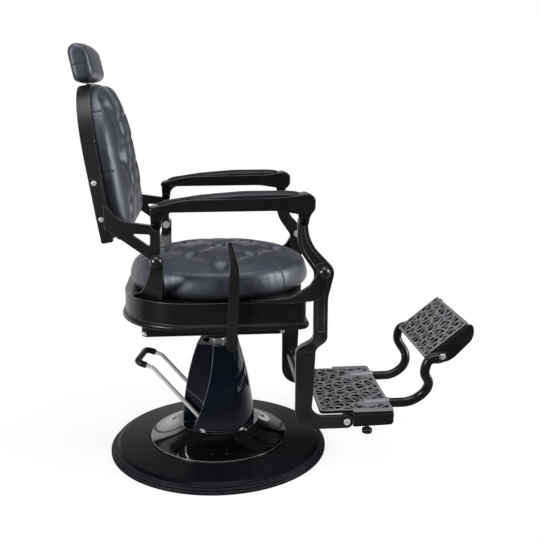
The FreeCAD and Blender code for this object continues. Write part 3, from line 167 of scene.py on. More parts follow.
# Room and lamps: a white wall with a dark rail behind the chair and a dim room elsewhere, which
# only reflections show, with a tall soft lamp at the left, one at the right and a broad one
# overhead. The camera sees plain white.
room = bpy.data.worlds.new("white_room")
room.use_nodes = True
room.node_tree.nodes.clear()
scene.world = room
start = Thread(room.node_tree)
way = start.node("SeparateXYZ", None, {"Vector": start.node("TexCoord", output="Generated")}, "Y")
across = way.beside("X")
height = way.beside("Z")
wall_rail = 0.85 * height.ease(0.27, 0.29) * height.ease(0.31, 0.33, 1.0, 0.0)
low_wall = height.ease(0.43, 0.47, 1.0, 0.0) * (1 - wall_rail)
high_wall = 0.25 * height.ease(0.51, 0.54) * height.ease(0.62, 0.66, 1.0, 0.0)
wall_lit = way.ease(0.15, 0.75) * across.ease(-0.15, 0.50, 1.0, 0.0) * (low_wall + high_wall)
wall = wall_lit.blend((0.035, 0.035, 0.04, 1), (0.97, 0.98, 1.0, 1))
camera_ray, direct = seen_directly(start)
bounced = start.node("Background", None, {"Color": (1, 1, 1, 1), "Strength": 0.28})
mirrored = start.node("Background", None, {"Color": wall, "Strength": 1.0})
backdrop = start.node("Background", None, {"Color": (1, 1, 1, 1), "Strength": 1.0})
reflected = direct.between(bounced, mirrored)
start.node("OutputWorld", None, {"Surface": camera_ray.between(reflected, backdrop)})

lamp_target = Vector((0.1, 0, 0.55))
lamps = [("left_lamp", (-2.3, -1.7, 1.5), (0.75, 1.2), 72.0),
         ("right_lamp", (2.6, -0.5, 1.5), (0.75, 1.2), 66.0),
         ("top_lamp", (0.1, -0.3, 3.1), (2.2, 1.6), 48.0)]
for lamp_name, lamp_place, lamp_size, lamp_power in lamps:
    lamp = bpy.data.objects.new(lamp_name, bpy.data.lights.new(lamp_name, "AREA"))
    lamp.data.shape = "RECTANGLE"
    lamp.data.size, lamp.data.size_y = lamp_size
    lamp.data.energy = lamp_power
    lamp.location = lamp_place
    aim = lamp_target - lamp.location
    lamp.rotation_euler = aim.to_track_quat("-Z", "Y").to_euler()
    scene.collection.objects.link(lamp)


# Base: a spun steel cover over a weight disc, with a rim of rounded steps, painted satin black.
# The paint is smooth with a faint orange peel, and the edges get a faint painted highlight.
def rounded_edges(start, radius):
    """Normal that runs round sharp edges, and how much of an edge a point is."""
    rounded = start.node("Bevel", {"samples": 6}, {"Radius": radius})
    straight = start.node("NewGeometry", output="Normal")
    alike = start.node("VectorMath", {"operation": "DOT_PRODUCT"},
                       {0: rounded, 1: straight}, "Value")
    return rounded, (1 - alike).ease(0.04, 0.26)


def cloudy(start, scale, detail=3.0, rough=0.55, twist=0.0):
    """Soft noise fixed to the piece."""
    return start.node("TexNoise", None,
                      {"Vector": own_place(start), "Scale": scale, "Detail": detail,
                       "Roughness": rough, "Distortion": twist})


def relief_on(start, rounded, field, strength, depth):
    """Fine relief over a rounded normal."""
    return start.node("Bump", None, {"Strength": strength, "Distance": depth, "Height": field,
                                     "Normal": rounded})


def times(colour, share):
    """A lighter or darker colour."""
    return tuple(share * c for c in colour[:3]) + (1,)


def closed(finish, start, sockets):
    """A material with its shader in place."""
    body = start.node("BsdfPrincipled", None, sockets)
    start.node("OutputMaterial", None, {"Surface": body})
    return finish


def satin_paint(name, colour, edge_highlight_colour, gloss, edge_radius,
                peel=0.00006, peel_scale=420.0, polish=0.38):
    """Sprayed paint: orange peel, uneven sheen, and a painted highlight that lightens its edges."""
    finish, start = new_finish(name)
    rounded, edge = rounded_edges(start, edge_radius)
    patches = cloudy(start, 9.0).ease(0.3, 0.7)
    grain = cloudy(start, peel_scale, 1.0)
    faded = patches.blend(colour, times(colour, 1.5))
    sheen = gloss + patches * 0.07 + grain * 0.05 - edge * 0.06
    # The edges are blended towards the edge colour: a painted highlight along every edge.
    return closed(finish, start, {"Base Color": (edge * 0.95).blend(faded, edge_highlight_colour),
                                  "Roughness": sheen, "Specular IOR Level": polish,
                                  "Normal": relief_on(start, rounded, grain, 0.5, peel)})


def dress(finish, *names):
    """Give CAD pieces a finish."""
    for name in names:
        slots = nodes[name].data.materials
        slots.clear()
        slots.append(finish)


# Its steel-grey edge colour is a painted highlight on the rim's steps and edges.
base_paint = satin_paint("base_paint", (0.0030, 0.0034, 0.0046, 1), (0.120, 0.128, 0.146, 1),
                         gloss=0.25, edge_radius=0.0024, polish=0.08)
dress(base_paint, "base_plate", "base_cover")


# Bell and column: a polished bell over the base and a two-part casing round the pump,
# moulded and lacquered piano black, with a deep wet gloss and fine polishing swirls.
def lacquer(name, colour, edge_highlight_colour, edge_radius, mirror=0.5):
    """Deep gloss lacquer with polishing swirls, and a bright painted highlight line along its
    edges.
    """
    finish, start = new_finish(name)
    rounded, edge = rounded_edges(start, edge_radius)
    swirls = cloudy(start, 55.0, 6.0, 0.7, 2.4)
    waves = cloudy(start, 14.0, 1.0)
    tint = swirls.ease(0.35, 0.75).blend(colour, times(colour, 1.6))
    return closed(finish, start, {"Base Color": edge.blend(tint, edge_highlight_colour),
                                  "Roughness": swirls.ease(0.45, 0.8, 0.05, 0.12) + edge * 0.10,
                                  "Specular IOR Level": mirror, "Coat Weight": 0.3,
                                  "Coat Roughness": 0.03, "Coat IOR": 1.5 + 0.6 * (mirror - 0.5),
                                  "Normal": relief_on(start, rounded, waves, 0.25, 0.0006)})


# Both lacquers blend their edges to a near-white edge colour: a painted highlight line.
column_lacquer = lacquer("column_lacquer", (0.0022, 0.0032, 0.0066, 1), (0.75, 0.80, 0.86, 1),
                         edge_radius=0.0022)
bell_lacquer = lacquer("bell_lacquer", (0.0020, 0.0020, 0.0022, 1), (0.75, 0.77, 0.80, 1),
                       edge_radius=0.0022, mirror=1.0)
dress(column_lacquer, "column_front", "column_rear")
dress(bell_lacquer, "bell_cover")


# Pump: a cast pump body under the column, a ground steel shaft, and the ram that lifts the seat.
# Castings are painted, and the sliding steel is hard-chromed with fine turning marks.
def bright_metal(name, colour, gloss, edge_radius, metal=1.0):
    """Plated or ground steel with fine marks."""
    finish, start = new_finish(name)
    rounded, edge = rounded_edges(start, edge_radius)
    marks = cloudy(start, 260.0, 4.0, 0.65)
    stains = cloudy(start, 38.0).ease(0.35, 0.75)
    sheen = gloss + marks.ease(0.4, 0.8, 0.0, 0.10) + edge * 0.04
    return closed(finish, start, {"Base Color": stains.blend(colour, times(colour, 0.82)),
                                  "Metallic": metal, "Roughness": sheen,
                                  "Normal": relief_on(start, rounded, marks, 0.2, 0.00004)})


chrome = bright_metal("chrome_plate", (0.95, 0.955, 0.96, 1),
                      gloss=0.20, edge_radius=0.0006, metal=0.5)
zinc = bright_metal("zinc_plate", (0.84, 0.85, 0.86, 1),
                    gloss=0.36, edge_radius=0.0006, metal=0.7)
# The frame paint's grey edge colour is a painted highlight along its edges.
frame_paint = satin_paint("frame_paint", (0.0050, 0.0052, 0.0050, 1), (0.200, 0.202, 0.196, 1),
                          gloss=0.24, edge_radius=0.0020)
dress(frame_paint, "pump_body", "seat_hub")
dress(zinc, "pump_shaft", "base_bolts", "hub_bolts")
dress(chrome, "ram")


# Pump pedal: a chromed rod bent into a stirrup, with a black rubber sleeve pressed on round its
# bend for the shoe. The rubber is moulded smooth, with a dusty bloom.
def rubber(name, colour, gloss):
    """Moulded rubber with a dusty bloom, and a painted highlight on its edges."""
    finish, start = new_finish(name)
    rounded, edge = rounded_edges(start, 0.0015)
    bloom = cloudy(start, 60.0, 5.0).ease(0.35, 0.75)
    grain = cloudy(start, 700.0, 2.0)
    # The bloom is dust; the lighter edges are a painted highlight.
    tint = (bloom * 0.6 + edge * 0.4).blend(colour, times(colour, 2.2))
    return closed(finish, start, {"Base Color": tint, "Roughness": gloss + bloom * 0.12,
                                  "Specular IOR Level": 0.4,
                                  "Normal": relief_on(start, rounded, grain, 0.5, 0.00015)})


grip_rubber = rubber("grip_rubber", (0.0060, 0.0060, 0.0062, 1), gloss=0.38)
dress(chrome, "pump_pedal")
dress(grip_rubber, "pump_grip")


# Seat pan: a rolled steel band with a turned-out lip, on a pressed tray, painted satin black.
# The tray is screwed up under the pan, and the seat board lies inside it.
# The pan's grey edge colour and the board's faint one are painted highlights on their edges.
pan_paint = satin_paint("pan_paint", (0.0050, 0.0052, 0.0046, 1), (0.240, 0.240, 0.228, 1),
                        gloss=0.23, edge_radius=0.0024)
board_stain = satin_paint("board_stain", (0.0055, 0.0052, 0.0048, 1), (0.012, 0.011, 0.010, 1),
                          gloss=0.62, edge_radius=0.0015, peel=0.0003, peel_scale=160.0)
dress(pan_paint, "seat_pan", "underframe", "lever_bush")
dress(zinc, "tray_screws")
dress(board_stain, "seat_board")


# Seat cushion: a deep round cushion of foam in dark blue-black leatherette, boxed at the side and
# held down to the board in the pan, with covered buttons drawn down in diamonds and soft folds
# that run out from each.
def leatherette(name, colour, worn_colour, gloss=0.45, polish=0.8, coat=0.6):
    """Coated cloth with pressed grain, stretched creases and a satin top coat, darkened along
    stitching and, as painted shade, in pits and folds.
    """
    finish, start = new_finish(name)
    cells = start.node("TexVoronoi", {"feature": "DISTANCE_TO_EDGE"},
                       {"Vector": own_place(start), "Scale": 620.0})
    pores = cells.ease(0.0, 0.22)
    creases = cloudy(start, 40.0, 2.0, 0.45, 0.8)
    patches = cloudy(start, 6.0).ease(0.32, 0.68)
    seams_and_painted_shade = start.node("Attribute", {"attribute_name": "seams_and_painted_shade"}, output="Fac")
    worn = patches * 0.45 + pores * 0.25 + creases.ease(0.4, 0.8) * 0.2
    # Where the mark read from the mesh is set, the colour drops to a quarter: dark stitched lines,
    # and painted shade in pits and folds.
    tint = (seams_and_painted_shade * 0.8).blend(worn.blend(colour, worn_colour), times(colour, 0.25))
    relief = start.node("Bump", None, {"Strength": 0.35, "Distance": 0.0005,
                                       "Height": pores * 0.10 + creases * 0.8})
    sheen = gloss + patches * 0.06 + (1 - pores) * 0.06 + seams_and_painted_shade * 0.25
    return closed(finish, start, {"Base Color": tint, "Roughness": sheen, "Normal": relief,
                                  "Specular IOR Level": polish,
                                  "Specular Tint": (0.80, 0.88, 1.0, 1),
                                  "Coat Weight": (1 - seams_and_painted_shade) * coat, "Coat Roughness": 0.43})


def solids_of(name):
    """Middle of each separate solid of a CAD piece."""
    shape = bmesh.new()
    shape.from_mesh(nodes[name].data)
    bmesh.ops.remove_doubles(shape, verts=shape.verts, dist=1e-5)
    left = set(shape.verts)
    middles = []
    while left:
        group = [left.pop()]
        for vertex in group:
            for edge in vertex.link_edges:
                other = edge.other_vert(vertex)
                if other in left:
                    left.discard(other)
                    group.append(other)
        middles.append(np.mean([v.co[:] for v in group], axis=0))
    shape.free()
    return np.array(sorted(middles, key=lambda m: tuple(np.round(m, 3))))


def points_of(mesh):
    """Place of each point."""
    places = np.empty(len(mesh.vertices) * 3)
    mesh.vertices.foreach_get("co", places)
    return places.reshape(-1, 3)


def normals_of(mesh):
    """Way that each point faces."""
    ways = np.empty(len(mesh.vertices) * 3)
    mesh.vertices.foreach_get("normal", ways)
    return ways.reshape(-1, 3)


def set_points(mesh, places):
    """Put each point in its new place."""
    mesh.vertices.foreach_set("co", np.ascontiguousarray(places, dtype=np.float64).ravel())
    mesh.update()


def push(mesh, far):
    """Move each point out along its normal, by its own distance."""
    set_points(mesh, points_of(mesh) + normals_of(mesh) * far.reshape(-1, 1))


def smooth(mesh):
    """Shade a mesh without facets."""
    for face in mesh.polygons:
        face.use_smooth = True


def skin_of(mesh):
    """Faces of a mesh, ready to be searched."""
    return BVHTree.FromPolygons([v.co for v in mesh.vertices],
                                [p.vertices[:] for p in mesh.polygons])


def settle(piece):
    """Apply the modifiers of a piece to its mesh."""
    seen = piece.evaluated_get(bpy.context.evaluated_depsgraph_get())
    mesh = bpy.data.meshes.new_from_object(seen)
    piece.modifiers.clear()
    piece.data = mesh
    return mesh


def relax(mesh, rounds):
    """Even out a mesh: each point moves halfway to the middle of its neighbours."""
    places = points_of(mesh)
    ends = np.empty(len(mesh.edges) * 2, dtype=np.int64)
    mesh.edges.foreach_get("vertices", ends)
    ends = ends.reshape(-1, 2)
    count = np.bincount(ends.ravel(), minlength=len(places)).reshape(-1, 1)
    for _ in range(rounds):
        total = np.zeros_like(places)
        np.add.at(total, ends[:, 0], places[ends[:, 1]])
        np.add.at(total, ends[:, 1], places[ends[:, 0]])
        places = places + 0.5 * (total / np.maximum(count, 1) - places)
    set_points(mesh, places)


def fill_out(mesh, node, axes):
    """Stretch a cover along its own axes to the full size of its foam."""
    places = points_of(mesh) @ axes.T
    foam = points_of(nodes[node].data) @ axes.T
    low, high = places.min(axis=0), places.max(axis=0)
    foam_low, foam_high = foam.min(axis=0), foam.max(axis=0)
    set_points(mesh, (foam_low + (places - low) * (foam_high - foam_low) / (high - low)) @ axes)


def lie_on(mesh, node, share):
    """Draw a cover part of the way onto the face of its foam."""
    foam = skin_of(nodes[node].data)
    places = points_of(mesh)
    near = np.array([foam.find_nearest(Vector(place))[0] for place in places])
    set_points(mesh, places + share * (near - places))


def blow_up(piece, held, cap):
    """Cloth under pressure: the cover swells where it isn't held, by no more than the cap."""
    moments, pressure, least_hold = 20, 4.0, 0.02
    mesh = piece.data
    group = piece.vertex_groups.new(name="sewn")
    for index in np.nonzero(held > least_hold)[0]:
        group.add([int(index)], float(held[index]), "REPLACE")
    cloth = piece.modifiers.new("cloth", "CLOTH")
    cloth.settings.quality = 4
    cloth.settings.use_pressure = True
    cloth.settings.uniform_pressure_force = pressure
    cloth.settings.effector_weights.gravity = 0.0
    cloth.settings.vertex_group_mass = "sewn"
    cloth.point_cache.frame_start = 1
    cloth.point_cache.frame_end = moments
    for moment in range(1, moments + 1):
        scene.frame_set(moment)
    before = points_of(mesh)
    seen = piece.evaluated_get(bpy.context.evaluated_depsgraph_get())
    moved = points_of(seen.data) - before
    far = np.linalg.norm(moved, axis=1, keepdims=True)
    moved *= np.minimum(1.0, cap / np.maximum(far, 1e-9))
    piece.modifiers.clear()
    scene.frame_set(1)
    set_points(mesh, before + moved)


def stuff(name, node, sewn, voxel, tuck, cap, rounds, axes, snug):
    """Foam in a cover: the solid's outline, drawn in, then blown up where it isn't sewn down."""
    piece = bpy.data.objects.new(name, nodes[node].data.copy())
    scene.collection.objects.link(piece)
    piece.data.materials.clear()
    remesh = piece.modifiers.new("remesh", "REMESH")
    remesh.mode = "VOXEL"
    remesh.voxel_size = voxel
    mesh = settle(piece)
    relax(mesh, rounds)
    held = sewn(points_of(mesh), normals_of(mesh))
    push(mesh, -tuck * (1 - held))
    blow_up(piece, held, cap)
    relax(mesh, 3)
    fill_out(mesh, node, axes)
    lie_on(mesh, node, snug)
    relax(mesh, 1)
    divide = piece.modifiers.new("divide", "SUBSURF")
    divide.levels = divide.render_levels = 1
    smooth(settle(piece))
    return piece


def to_segment(places, first, second):
    """Distance of points to a stretch of line, and how far along it they are."""
    along = second - first
    share = np.clip((places - first) @ along / (along @ along), 0, 1)
    return np.linalg.norm(places - first - share[:, None] * along, axis=1), share


def flattened(places, way):
    """Points pressed flat along one way."""
    return places - np.outer(places @ way, way)


def hump(off, width):
    """One in the middle, fading out over a width."""
    return np.exp(-(off / width) ** 2)


def shade(mesh, mark):
    """Mark where the cover is folded in or stitched: there its colour is painted dark, as painted
    shade and stitched lines, and its finish is dull.
    """
    seams_and_painted_shade = mesh.attributes.get("seams_and_painted_shade") or mesh.attributes.new("seams_and_painted_shade", "FLOAT", "POINT")
    kept = np.empty(len(mesh.vertices), dtype=np.float32)
    seams_and_painted_shade.data.foreach_get("value", kept)
    seams_and_painted_shade.data.foreach_set("value", np.maximum(kept, mark).astype(np.float32))


def draw_in(piece, buttons, way, pit, fold, reach, rim, spread, midway):
    """Sewn tufts: pits at the buttons, folds between neighbours, short pleats to the rim, and
    painted shade in pits and folds.
    """
    pit_shade_width, throat_width, pleat_length = 0.019, 0.011, 0.085
    mesh = piece.data
    places = points_of(mesh)
    facing = np.clip((normals_of(mesh) @ way - 0.15) / 0.4, 0, 1)
    flat = flattened(places, way)
    spots = flattened(buttons, way)
    middle = spots.mean(axis=0)
    down, pit_shade, folds = np.zeros((3, len(places)))
    for spot in spots:
        off = np.linalg.norm(flat - spot, axis=1)
        pit_shade = np.maximum(pit_shade, hump(off, pit_shade_width))
        pressed = 0.6 * hump(off, 2.2 * spread) + 0.4 * hump(off, throat_width)
        down = np.maximum(down, pit * pressed)
    for i, spot in enumerate(spots):
        for other in spots[i + 1:]:
            if np.linalg.norm(other - spot) < reach:
                off, share = to_segment(flat, spot, other)
                depth = fold * (midway + (1 - midway) * (2 * share - 1) ** 2)
                folds = np.maximum(folds, depth * hump(off, spread))
        outward = spot - middle
        from_middle = np.linalg.norm(outward)
        if from_middle > rim:
            off, share = to_segment(flat, spot, spot + outward / from_middle * pleat_length)
            folds = np.maximum(folds, 0.8 * fold * (1 - share) * hump(off, spread))
    set_points(mesh, places - np.outer((down + folds) * facing, way))
    # Pits and folds that face out are marked for painted shade.
    shade(mesh, np.maximum(pit_shade, 0.5 * folds / fold) * facing)


def stitch(piece, distance, where, depth=0.0016):
    """Stitching: a narrow groove where the distance is nought, its bottom painted dark as a
    stitched line and as painted shade.
    """
    groove_width = 0.0022
    mark = np.where(where, hump(distance, groove_width), 0.0)
    push(piece.data, -depth * mark)
    # The groove's bottom is painted dark: a stitched line, and painted shade.
    shade(piece.data, mark ** 2)


def buttons_on(name, piece, middles, way, radius, height):
    """Covered buttons, domed, sunk in the bottom of their pits."""
    sides, above = 20, 0.2
    profile = [(1.0, -0.9), (1.0, 0.0), (0.93, 0.38), (0.76, 0.70), (0.48, 0.92)]
    skin = skin_of(piece.data)
    way = Vector(way)
    turn = Vector((0, 0, 1)).rotation_difference(way)
    shape = bmesh.new()
    for middle in middles:
        hit = skin.ray_cast(Vector(middle) + way * above, -way)[0]
        rows = []
        for share, rise in profile:
            ring = []
            for step in range(sides):
                angle = math.tau * step / sides
                local = Vector((radius * share * math.cos(angle), radius * share * math.sin(angle),
                                rise * height))
                ring.append(shape.verts.new(hit + turn @ local))
            rows.append(ring)
        top = shape.verts.new(hit + turn @ Vector((0, 0, height)))
        for low, high in zip(rows, rows[1:]):
            for k in range(sides):
                after = (k + 1) % sides
                shape.faces.new((low[k], low[after], high[after], high[k]))
        for k in range(sides):
            shape.faces.new((rows[-1][k], rows[-1][(k + 1) % sides], top))
        shape.faces.new(list(reversed(rows[0])))
    made = bpy.data.meshes.new(name)
    shape.to_mesh(made)
    shape.free()
    smooth(made)
    studs = bpy.data.objects.new(name, made)
    scene.collection.objects.link(studs)
    return studs


seat_leather = leatherette("seat_leatherette", (0.0088, 0.0102, 0.0152, 1),
                           (0.0160, 0.0184, 0.0262, 1))
seat_buttons = solids_of("seat_buttons")
seat_low, seat_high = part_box("seat_cushion")
seat_hold, seat_loosen = 0.030, 0.012
upward = np.array([0.0, 0.0, 1.0])


def seat_sewn(places, ways):
    """Held at the board underneath."""
    return np.clip((seat_low.z + seat_hold - places[:, 2]) / seat_loosen, 0, 1)


seat_pad = stuff("seat_upholstery", "seat_cushion", seat_sewn, voxel=0.0055, tuck=0.005, cap=0.012,
                 rounds=6, axes=np.eye(3), snug=0.60)
draw_in(seat_pad, seat_buttons, upward, pit=0.0095, fold=0.0026, reach=0.145, rim=0.09,
        spread=0.009, midway=0.0)

# The boxed side is barrelled: the top and the bottom are drawn in from the fullest level.
barrel_level, barrel_half, barrel_draw = 0.036, 0.072, 0.050
seat_middle = np.array([(seat_low.x + seat_high.x) / 2, 0.0])
seat_places = points_of(seat_pad.data)
seat_level = np.clip((seat_places[:, 2] - seat_low.z - barrel_level) / barrel_half, -1, 1)
seat_drawn = 1 - barrel_draw * seat_level ** 2 * (2 - seat_level ** 2)
seat_places[:, :2] = seat_middle + (seat_places[:, :2] - seat_middle) * seat_drawn[:, None]
set_points(seat_pad.data, seat_places)

# Four seams run up the boxed side, and stop below the rounded top.
side_out, side_top = 0.2, 0.035
seat_turn = np.arctan2(seat_places[:, 1] - seat_middle[1], seat_places[:, 0] - seat_middle[0])
seat_out = np.linalg.norm(seat_places[:, :2] - seat_middle, axis=1)
seat_side = (seat_out > side_out) & (seat_places[:, 2] < seat_high.z - side_top)
for seam_turn in (-48, 48, -132, 132):
    turned_off = np.angle(np.exp(1j * (seat_turn - math.radians(seam_turn))))
    stitch(seat_pad, np.abs(turned_off) * seat_out, seat_side)
seat_pad.data.materials.append(seat_leather)
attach(seat_pad, "seat")
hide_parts("seat_cushion")
seat_studs = buttons_on("seat_studs", seat_pad, seat_buttons, upward,
                        radius=0.0105, height=0.0045)
seat_studs.data.materials.append(seat_leather)
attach(seat_studs, "seat")
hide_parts("seat_buttons")


# Brackets and horns: castings bolted over the pan's lip that carry the linkage, with pivot pins
# under painted ball caps. The bolts are blackened steel and the pins are zinc-plated.
# The caps' edge colour is a faint painted highlight on their edges.
cap_paint = satin_paint("cap_paint", (0.0060, 0.0062, 0.0060, 1), (0.012, 0.012, 0.012, 1),
                        gloss=0.24, edge_radius=0.0012, polish=0.7)
black_oxide = bright_metal("black_oxide", (0.030, 0.030, 0.032, 1), gloss=0.26, edge_radius=0.0007)
dress(frame_paint, "rear_bracket_right", "rear_bracket_left", "front_horn_right", "front_horn_left")
dress(zinc, "pivot_pins")
dress(black_oxide, "horn_bolts")
dress(cap_paint, "pivot_caps")


# Recline lever: a folded paddle beside the seat pan, on a shaft that turns in the tray's bush.
# Both are coated in dull black plastic with a fine grain.
# The lever's edge colour is a faint painted highlight on its edges.
lever_black = satin_paint("lever_plastic", (0.0060, 0.0062, 0.0058, 1), (0.015, 0.015, 0.014, 1),
                          gloss=0.42, edge_radius=0.0025, peel=0.00012, peel_scale=900.0)
dress(lever_black, "recline_lever", "lever_shaft")


# Back hoop and links: a flat steel hoop bent round the back, with a cast link screwed to each side.
# A board covered in leatherette closes it behind, with a welt sewn round the edge.
# The hoop paint's grey edge colour is a painted highlight along its edges.
hoop_paint = satin_paint("hoop_paint", (0.0085, 0.0090, 0.0092, 1), (0.180, 0.188, 0.192, 1),
                         gloss=0.25, edge_radius=0.0020)
panel_leather = leatherette("panel_leatherette", (0.0060, 0.0068, 0.0090, 1),
                            (0.0105, 0.0116, 0.0145, 1), gloss=0.48, polish=0.45, coat=0.15)
dress(hoop_paint, "back_frame", "side_link_right", "side_link_left")
dress(zinc, "frame_screws")
dress(black_oxide, "arm_rear_screws", "arm_front_screws")
dress(panel_leather, "back_cover")
lean = math.radians(8.7)
back_way = np.array([math.cos(lean), 0.0, math.sin(lean)])
back_side = np.array([0.0, 1.0, 0.0])
back_up = np.array([-math.sin(lean), 0.0, math.cos(lean)])


def bend_of(first, second, third):
    """Above nought where three flat points turn to the left."""
    return np.cross(np.subtract(second, first), np.subtract(third, first))


def rim_of(flat):
    """Outer points of a flat convex shape, in order."""
    rows = sorted(set(map(tuple, np.round(flat, 5))))
    rim = []
    for row in (rows, rows[::-1]):
        run = []
        for point in row:
            while len(run) > 1 and bend_of(run[-2], run[-1], point) <= 0:
                run.pop()
            run.append(point)
        rim += run[:-1]
    return np.array(rim)


welt_radius, welt_inset = 0.0026, 0.007
panel_places = points_of(nodes["back_cover"].data)
panel_depth = (panel_places @ back_way).min()
panel_rim = rim_of(np.stack([panel_places @ back_side, panel_places @ back_up], axis=1))
panel_middle = (panel_rim.min(axis=0) + panel_rim.max(axis=0)) / 2
panel_out = panel_rim - panel_middle
welt_share = 1 - welt_inset / np.linalg.norm(panel_out, axis=1, keepdims=True)
welt_path = panel_middle + panel_out * welt_share
welt_line = bpy.data.curves.new("welt_line", "CURVE")
welt_line.dimensions = "3D"
welt_line.bevel_depth = welt_radius
welt_line.bevel_resolution = 3
welt_run = welt_line.splines.new("POLY")
welt_run.points.add(len(welt_path) - 1)
for point, (sideways, rise) in zip(welt_run.points, welt_path):
    point.co = (*(panel_depth * back_way + sideways * back_side + rise * back_up), 1.0)
welt_run.use_cyclic_u = True
welt_mesh = bpy.data.meshes.new_from_object(bpy.data.objects.new("welt_line", welt_line))
welt = bpy.data.objects.new("back_welt", welt_mesh)
scene.collection.objects.link(welt)
smooth(welt.data)
welt.data.materials.clear()
welt.data.materials.append(panel_leather)
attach(welt, "back")


# Back cushion: a boxed cushion of the same leatherette, held in the hoop at the rear, with a
# rolled edge, buttons in diamonds on its front and cross seams in its side strips.
back_buttons = solids_of("back_buttons")
back_spots = flattened(back_buttons, back_way)
back_rear = (points_of(nodes["back_cushion"].data) @ back_way).min()
back_hold, back_loosen = 0.020, 0.008
button_hold, button_loosen = 0.016, 0.008


def back_sewn(places, ways):
    """Held in the hoop at the rear and at each button."""
    inside = np.clip((back_rear + back_hold - places @ back_way) / back_loosen, 0, 1)
    flat = flattened(places, back_way)
    off = np.min(np.linalg.norm(flat[:, None] - back_spots[None], axis=2), axis=1)
    tied = np.clip((button_hold - off) / button_loosen, 0, 1) * (ways @ back_way > 0.2)
    return np.maximum(inside, tied)


back_axes = np.array([back_way, back_side, back_up])
back_pad = stuff("back_upholstery", "back_cushion", back_sewn, voxel=0.0055, tuck=0.005, cap=0.012,
                 rounds=6, axes=back_axes, snug=0.25)
draw_in(back_pad, back_buttons, back_way, pit=0.015, fold=0.0055, reach=0.150, rim=0.09,
        spread=0.012, midway=0.5)
strip_out, strip_facing, strip_x = 0.19, 0.72, -0.285
for seam_height in (0.866, 1.020):
    back_places = points_of(back_pad.data)
    in_strip = np.abs(back_places[:, 1]) > strip_out
    in_strip &= normals_of(back_pad.data) @ back_way < strip_facing
    level = back_places @ back_up - np.array([strip_x, 0, seam_height]) @ back_up
    stitch(back_pad, np.abs(level), in_strip)
back_pad.data.materials.append(seat_leather)
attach(back_pad, "back")
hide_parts("back_cushion")
back_studs = buttons_on("back_studs", back_pad, back_buttons, back_way,
                        radius=0.0105, height=0.0045)
back_studs.data.materials.append(seat_leather)
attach(back_studs, "back")
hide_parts("back_buttons")


# Headrest: a stuffed pillow in the same leatherette with sewn end panels, on a flat steel post
# that slides in a socket behind the back.
head_low, head_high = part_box("headrest_cushion")
head_middle = np.array([(head_low.x + head_high.x) / 2, 0.0, (head_low.z + head_high.z) / 2])
pocket_hold, pocket_loosen = 0.05, 0.02


def head_sewn(places, ways):
    """Held round the post's pocket underneath."""
    off = np.linalg.norm(places[:, :2] - head_middle[:2], axis=1)
    return np.clip((pocket_hold - off) / pocket_loosen, 0, 1) * (ways[:, 2] < -0.5)


head_pad = stuff("headrest_upholstery", "headrest_cushion", head_sewn, voxel=0.0045, tuck=0.003,
                 cap=0.0045, rounds=7, axes=back_axes, snug=0.75)

# Each end has two bowed seams, and a short one that crosses from one to the other.
front_seam, rear_seam, cross_seam, head_groove = 0.016, -0.024, -0.004, 0.0009
head_places = points_of(head_pad.data)
head_across = (head_places - head_middle) @ back_way
head_rise = (head_places - head_middle) @ back_up
from_end = (head_high.y - head_low.y) / 2 - np.abs(head_places[:, 1])
for bowed_seam, bow in ((front_seam, 4.0), (rear_seam, -3.0)):
    seam_off = np.abs(head_across - bowed_seam + bow * head_rise ** 2)
    stitch(head_pad, seam_off, from_end < 0.060, head_groove)
crossing = (from_end < 0.030) & (head_across > rear_seam) & (head_across < front_seam)
stitch(head_pad, np.abs(head_rise - cross_seam), crossing, head_groove)
head_pad.data.materials.append(seat_leather)
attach(head_pad, "headrest")
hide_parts("headrest_cushion")
dress(zinc, "headrest_post")
dress(frame_paint, "headrest_socket")


# Armrests: cast arms painted satin black, screwed to the back's links behind and to the legs in
# front. Each has a moulded pad of black skinned foam on top.
pad_skin = leatherette("arm_pad_skin", (0.0075, 0.0080, 0.0090, 1), (0.0120, 0.0130, 0.0145, 1),
                       gloss=0.42, polish=0.40, coat=0.0)
dress(frame_paint, "arm_right", "arm_left")


def pad_sewn(places, ways):
    """Held at the sides and underneath."""
    return (ways[:, 2] < 0.1).astype(float)


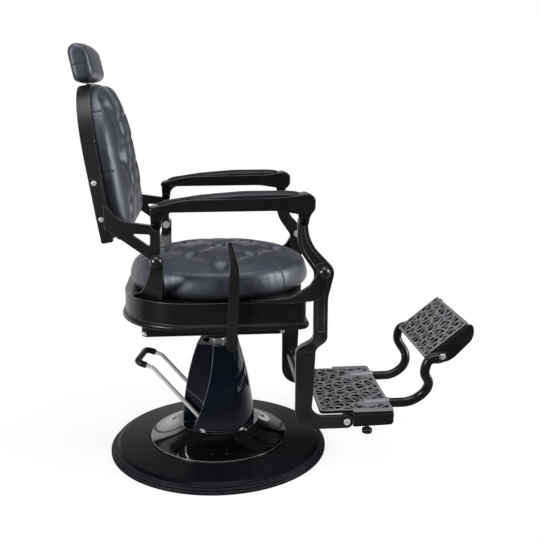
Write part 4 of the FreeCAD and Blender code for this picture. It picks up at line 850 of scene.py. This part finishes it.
for side in ("right", "left"):
    pad = stuff("arm_upholstery_" + side, "arm_pad_" + side, pad_sewn, voxel=0.0032, tuck=0.0,
                cap=0.002, rounds=9, axes=np.eye(3), snug=0.0)
    pad.data.materials.append(pad_skin)
    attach(pad, "armrest_" + side)
    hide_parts("arm_pad_" + side)


# Legs: two curved cast posts, painted satin black, that swing on the seat's horns and hold the
# front ends of the arms. A tube joins them, and zinc-plated bolts carry the footrest.
# The leg paint's grey edge colour is a painted highlight along its edges.
leg_paint = satin_paint("leg_paint", (0.0100, 0.0104, 0.0094, 1), (0.180, 0.184, 0.174, 1),
                        gloss=0.24, edge_radius=0.0020)
dress(leg_paint, "leg_right", "leg_left", "leg_crossbar")
dress(zinc, "deck_pivot_bolts")


# Footrest: a cast aluminium deck and tread with a web of slots, brushed by shoes, between painted
# rails and bent bars, on rubber bumpers.
def cast_metal(name, colour, edge_highlight_colour, slot_shade_colour):
    """Sand-cast aluminium, tumbled, with a painted highlight on its edges and painted shade on
    faces that don't face up.
    """
    finish, start = new_finish(name)
    rounded, edge = rounded_edges(start, 0.0012)
    facing = start.node("NewGeometry", output="Normal")
    top = start.node("SeparateXYZ", None, {"Vector": facing}, "Z").ease(0.35, 0.60)
    skin = cloudy(start, 520.0, 3.0)
    patches = cloudy(start, 18.0, 4.0).ease(0.3, 0.7)
    # Random patches are brushing by shoes; the lighter edges are a painted highlight.
    brushed_and_edge_highlight = (patches * 0.35 + edge * 0.65).blend(colour, edge_highlight_colour)
    # Faces that don't face up, such as the slots' walls, take the near-black colour: painted shade.
    return closed(finish, start, {"Base Color": top.blend(slot_shade_colour, brushed_and_edge_highlight), "Metallic": 0.55,
                                  "Roughness": 0.42 + patches * 0.10 + skin * 0.08,
                                  "Normal": relief_on(start, rounded, skin, 0.6, 0.00025)})


# The last colour is the painted shade on faces that don't face up, as in the slots.
web_metal = cast_metal("web_aluminium", (0.215, 0.220, 0.232, 1), (0.35, 0.355, 0.37, 1),
                       (0.012, 0.012, 0.013, 1))
dress(web_metal, "deck_plate", "tread_plate")
dress(frame_paint, "deck_rail_right", "deck_rail_left", "foot_bar_right", "foot_bar_left",
      "tread_cheek_right", "tread_cheek_left")
dress(grip_rubber, "deck_bumpers")
dress(zinc, "tread_screws")
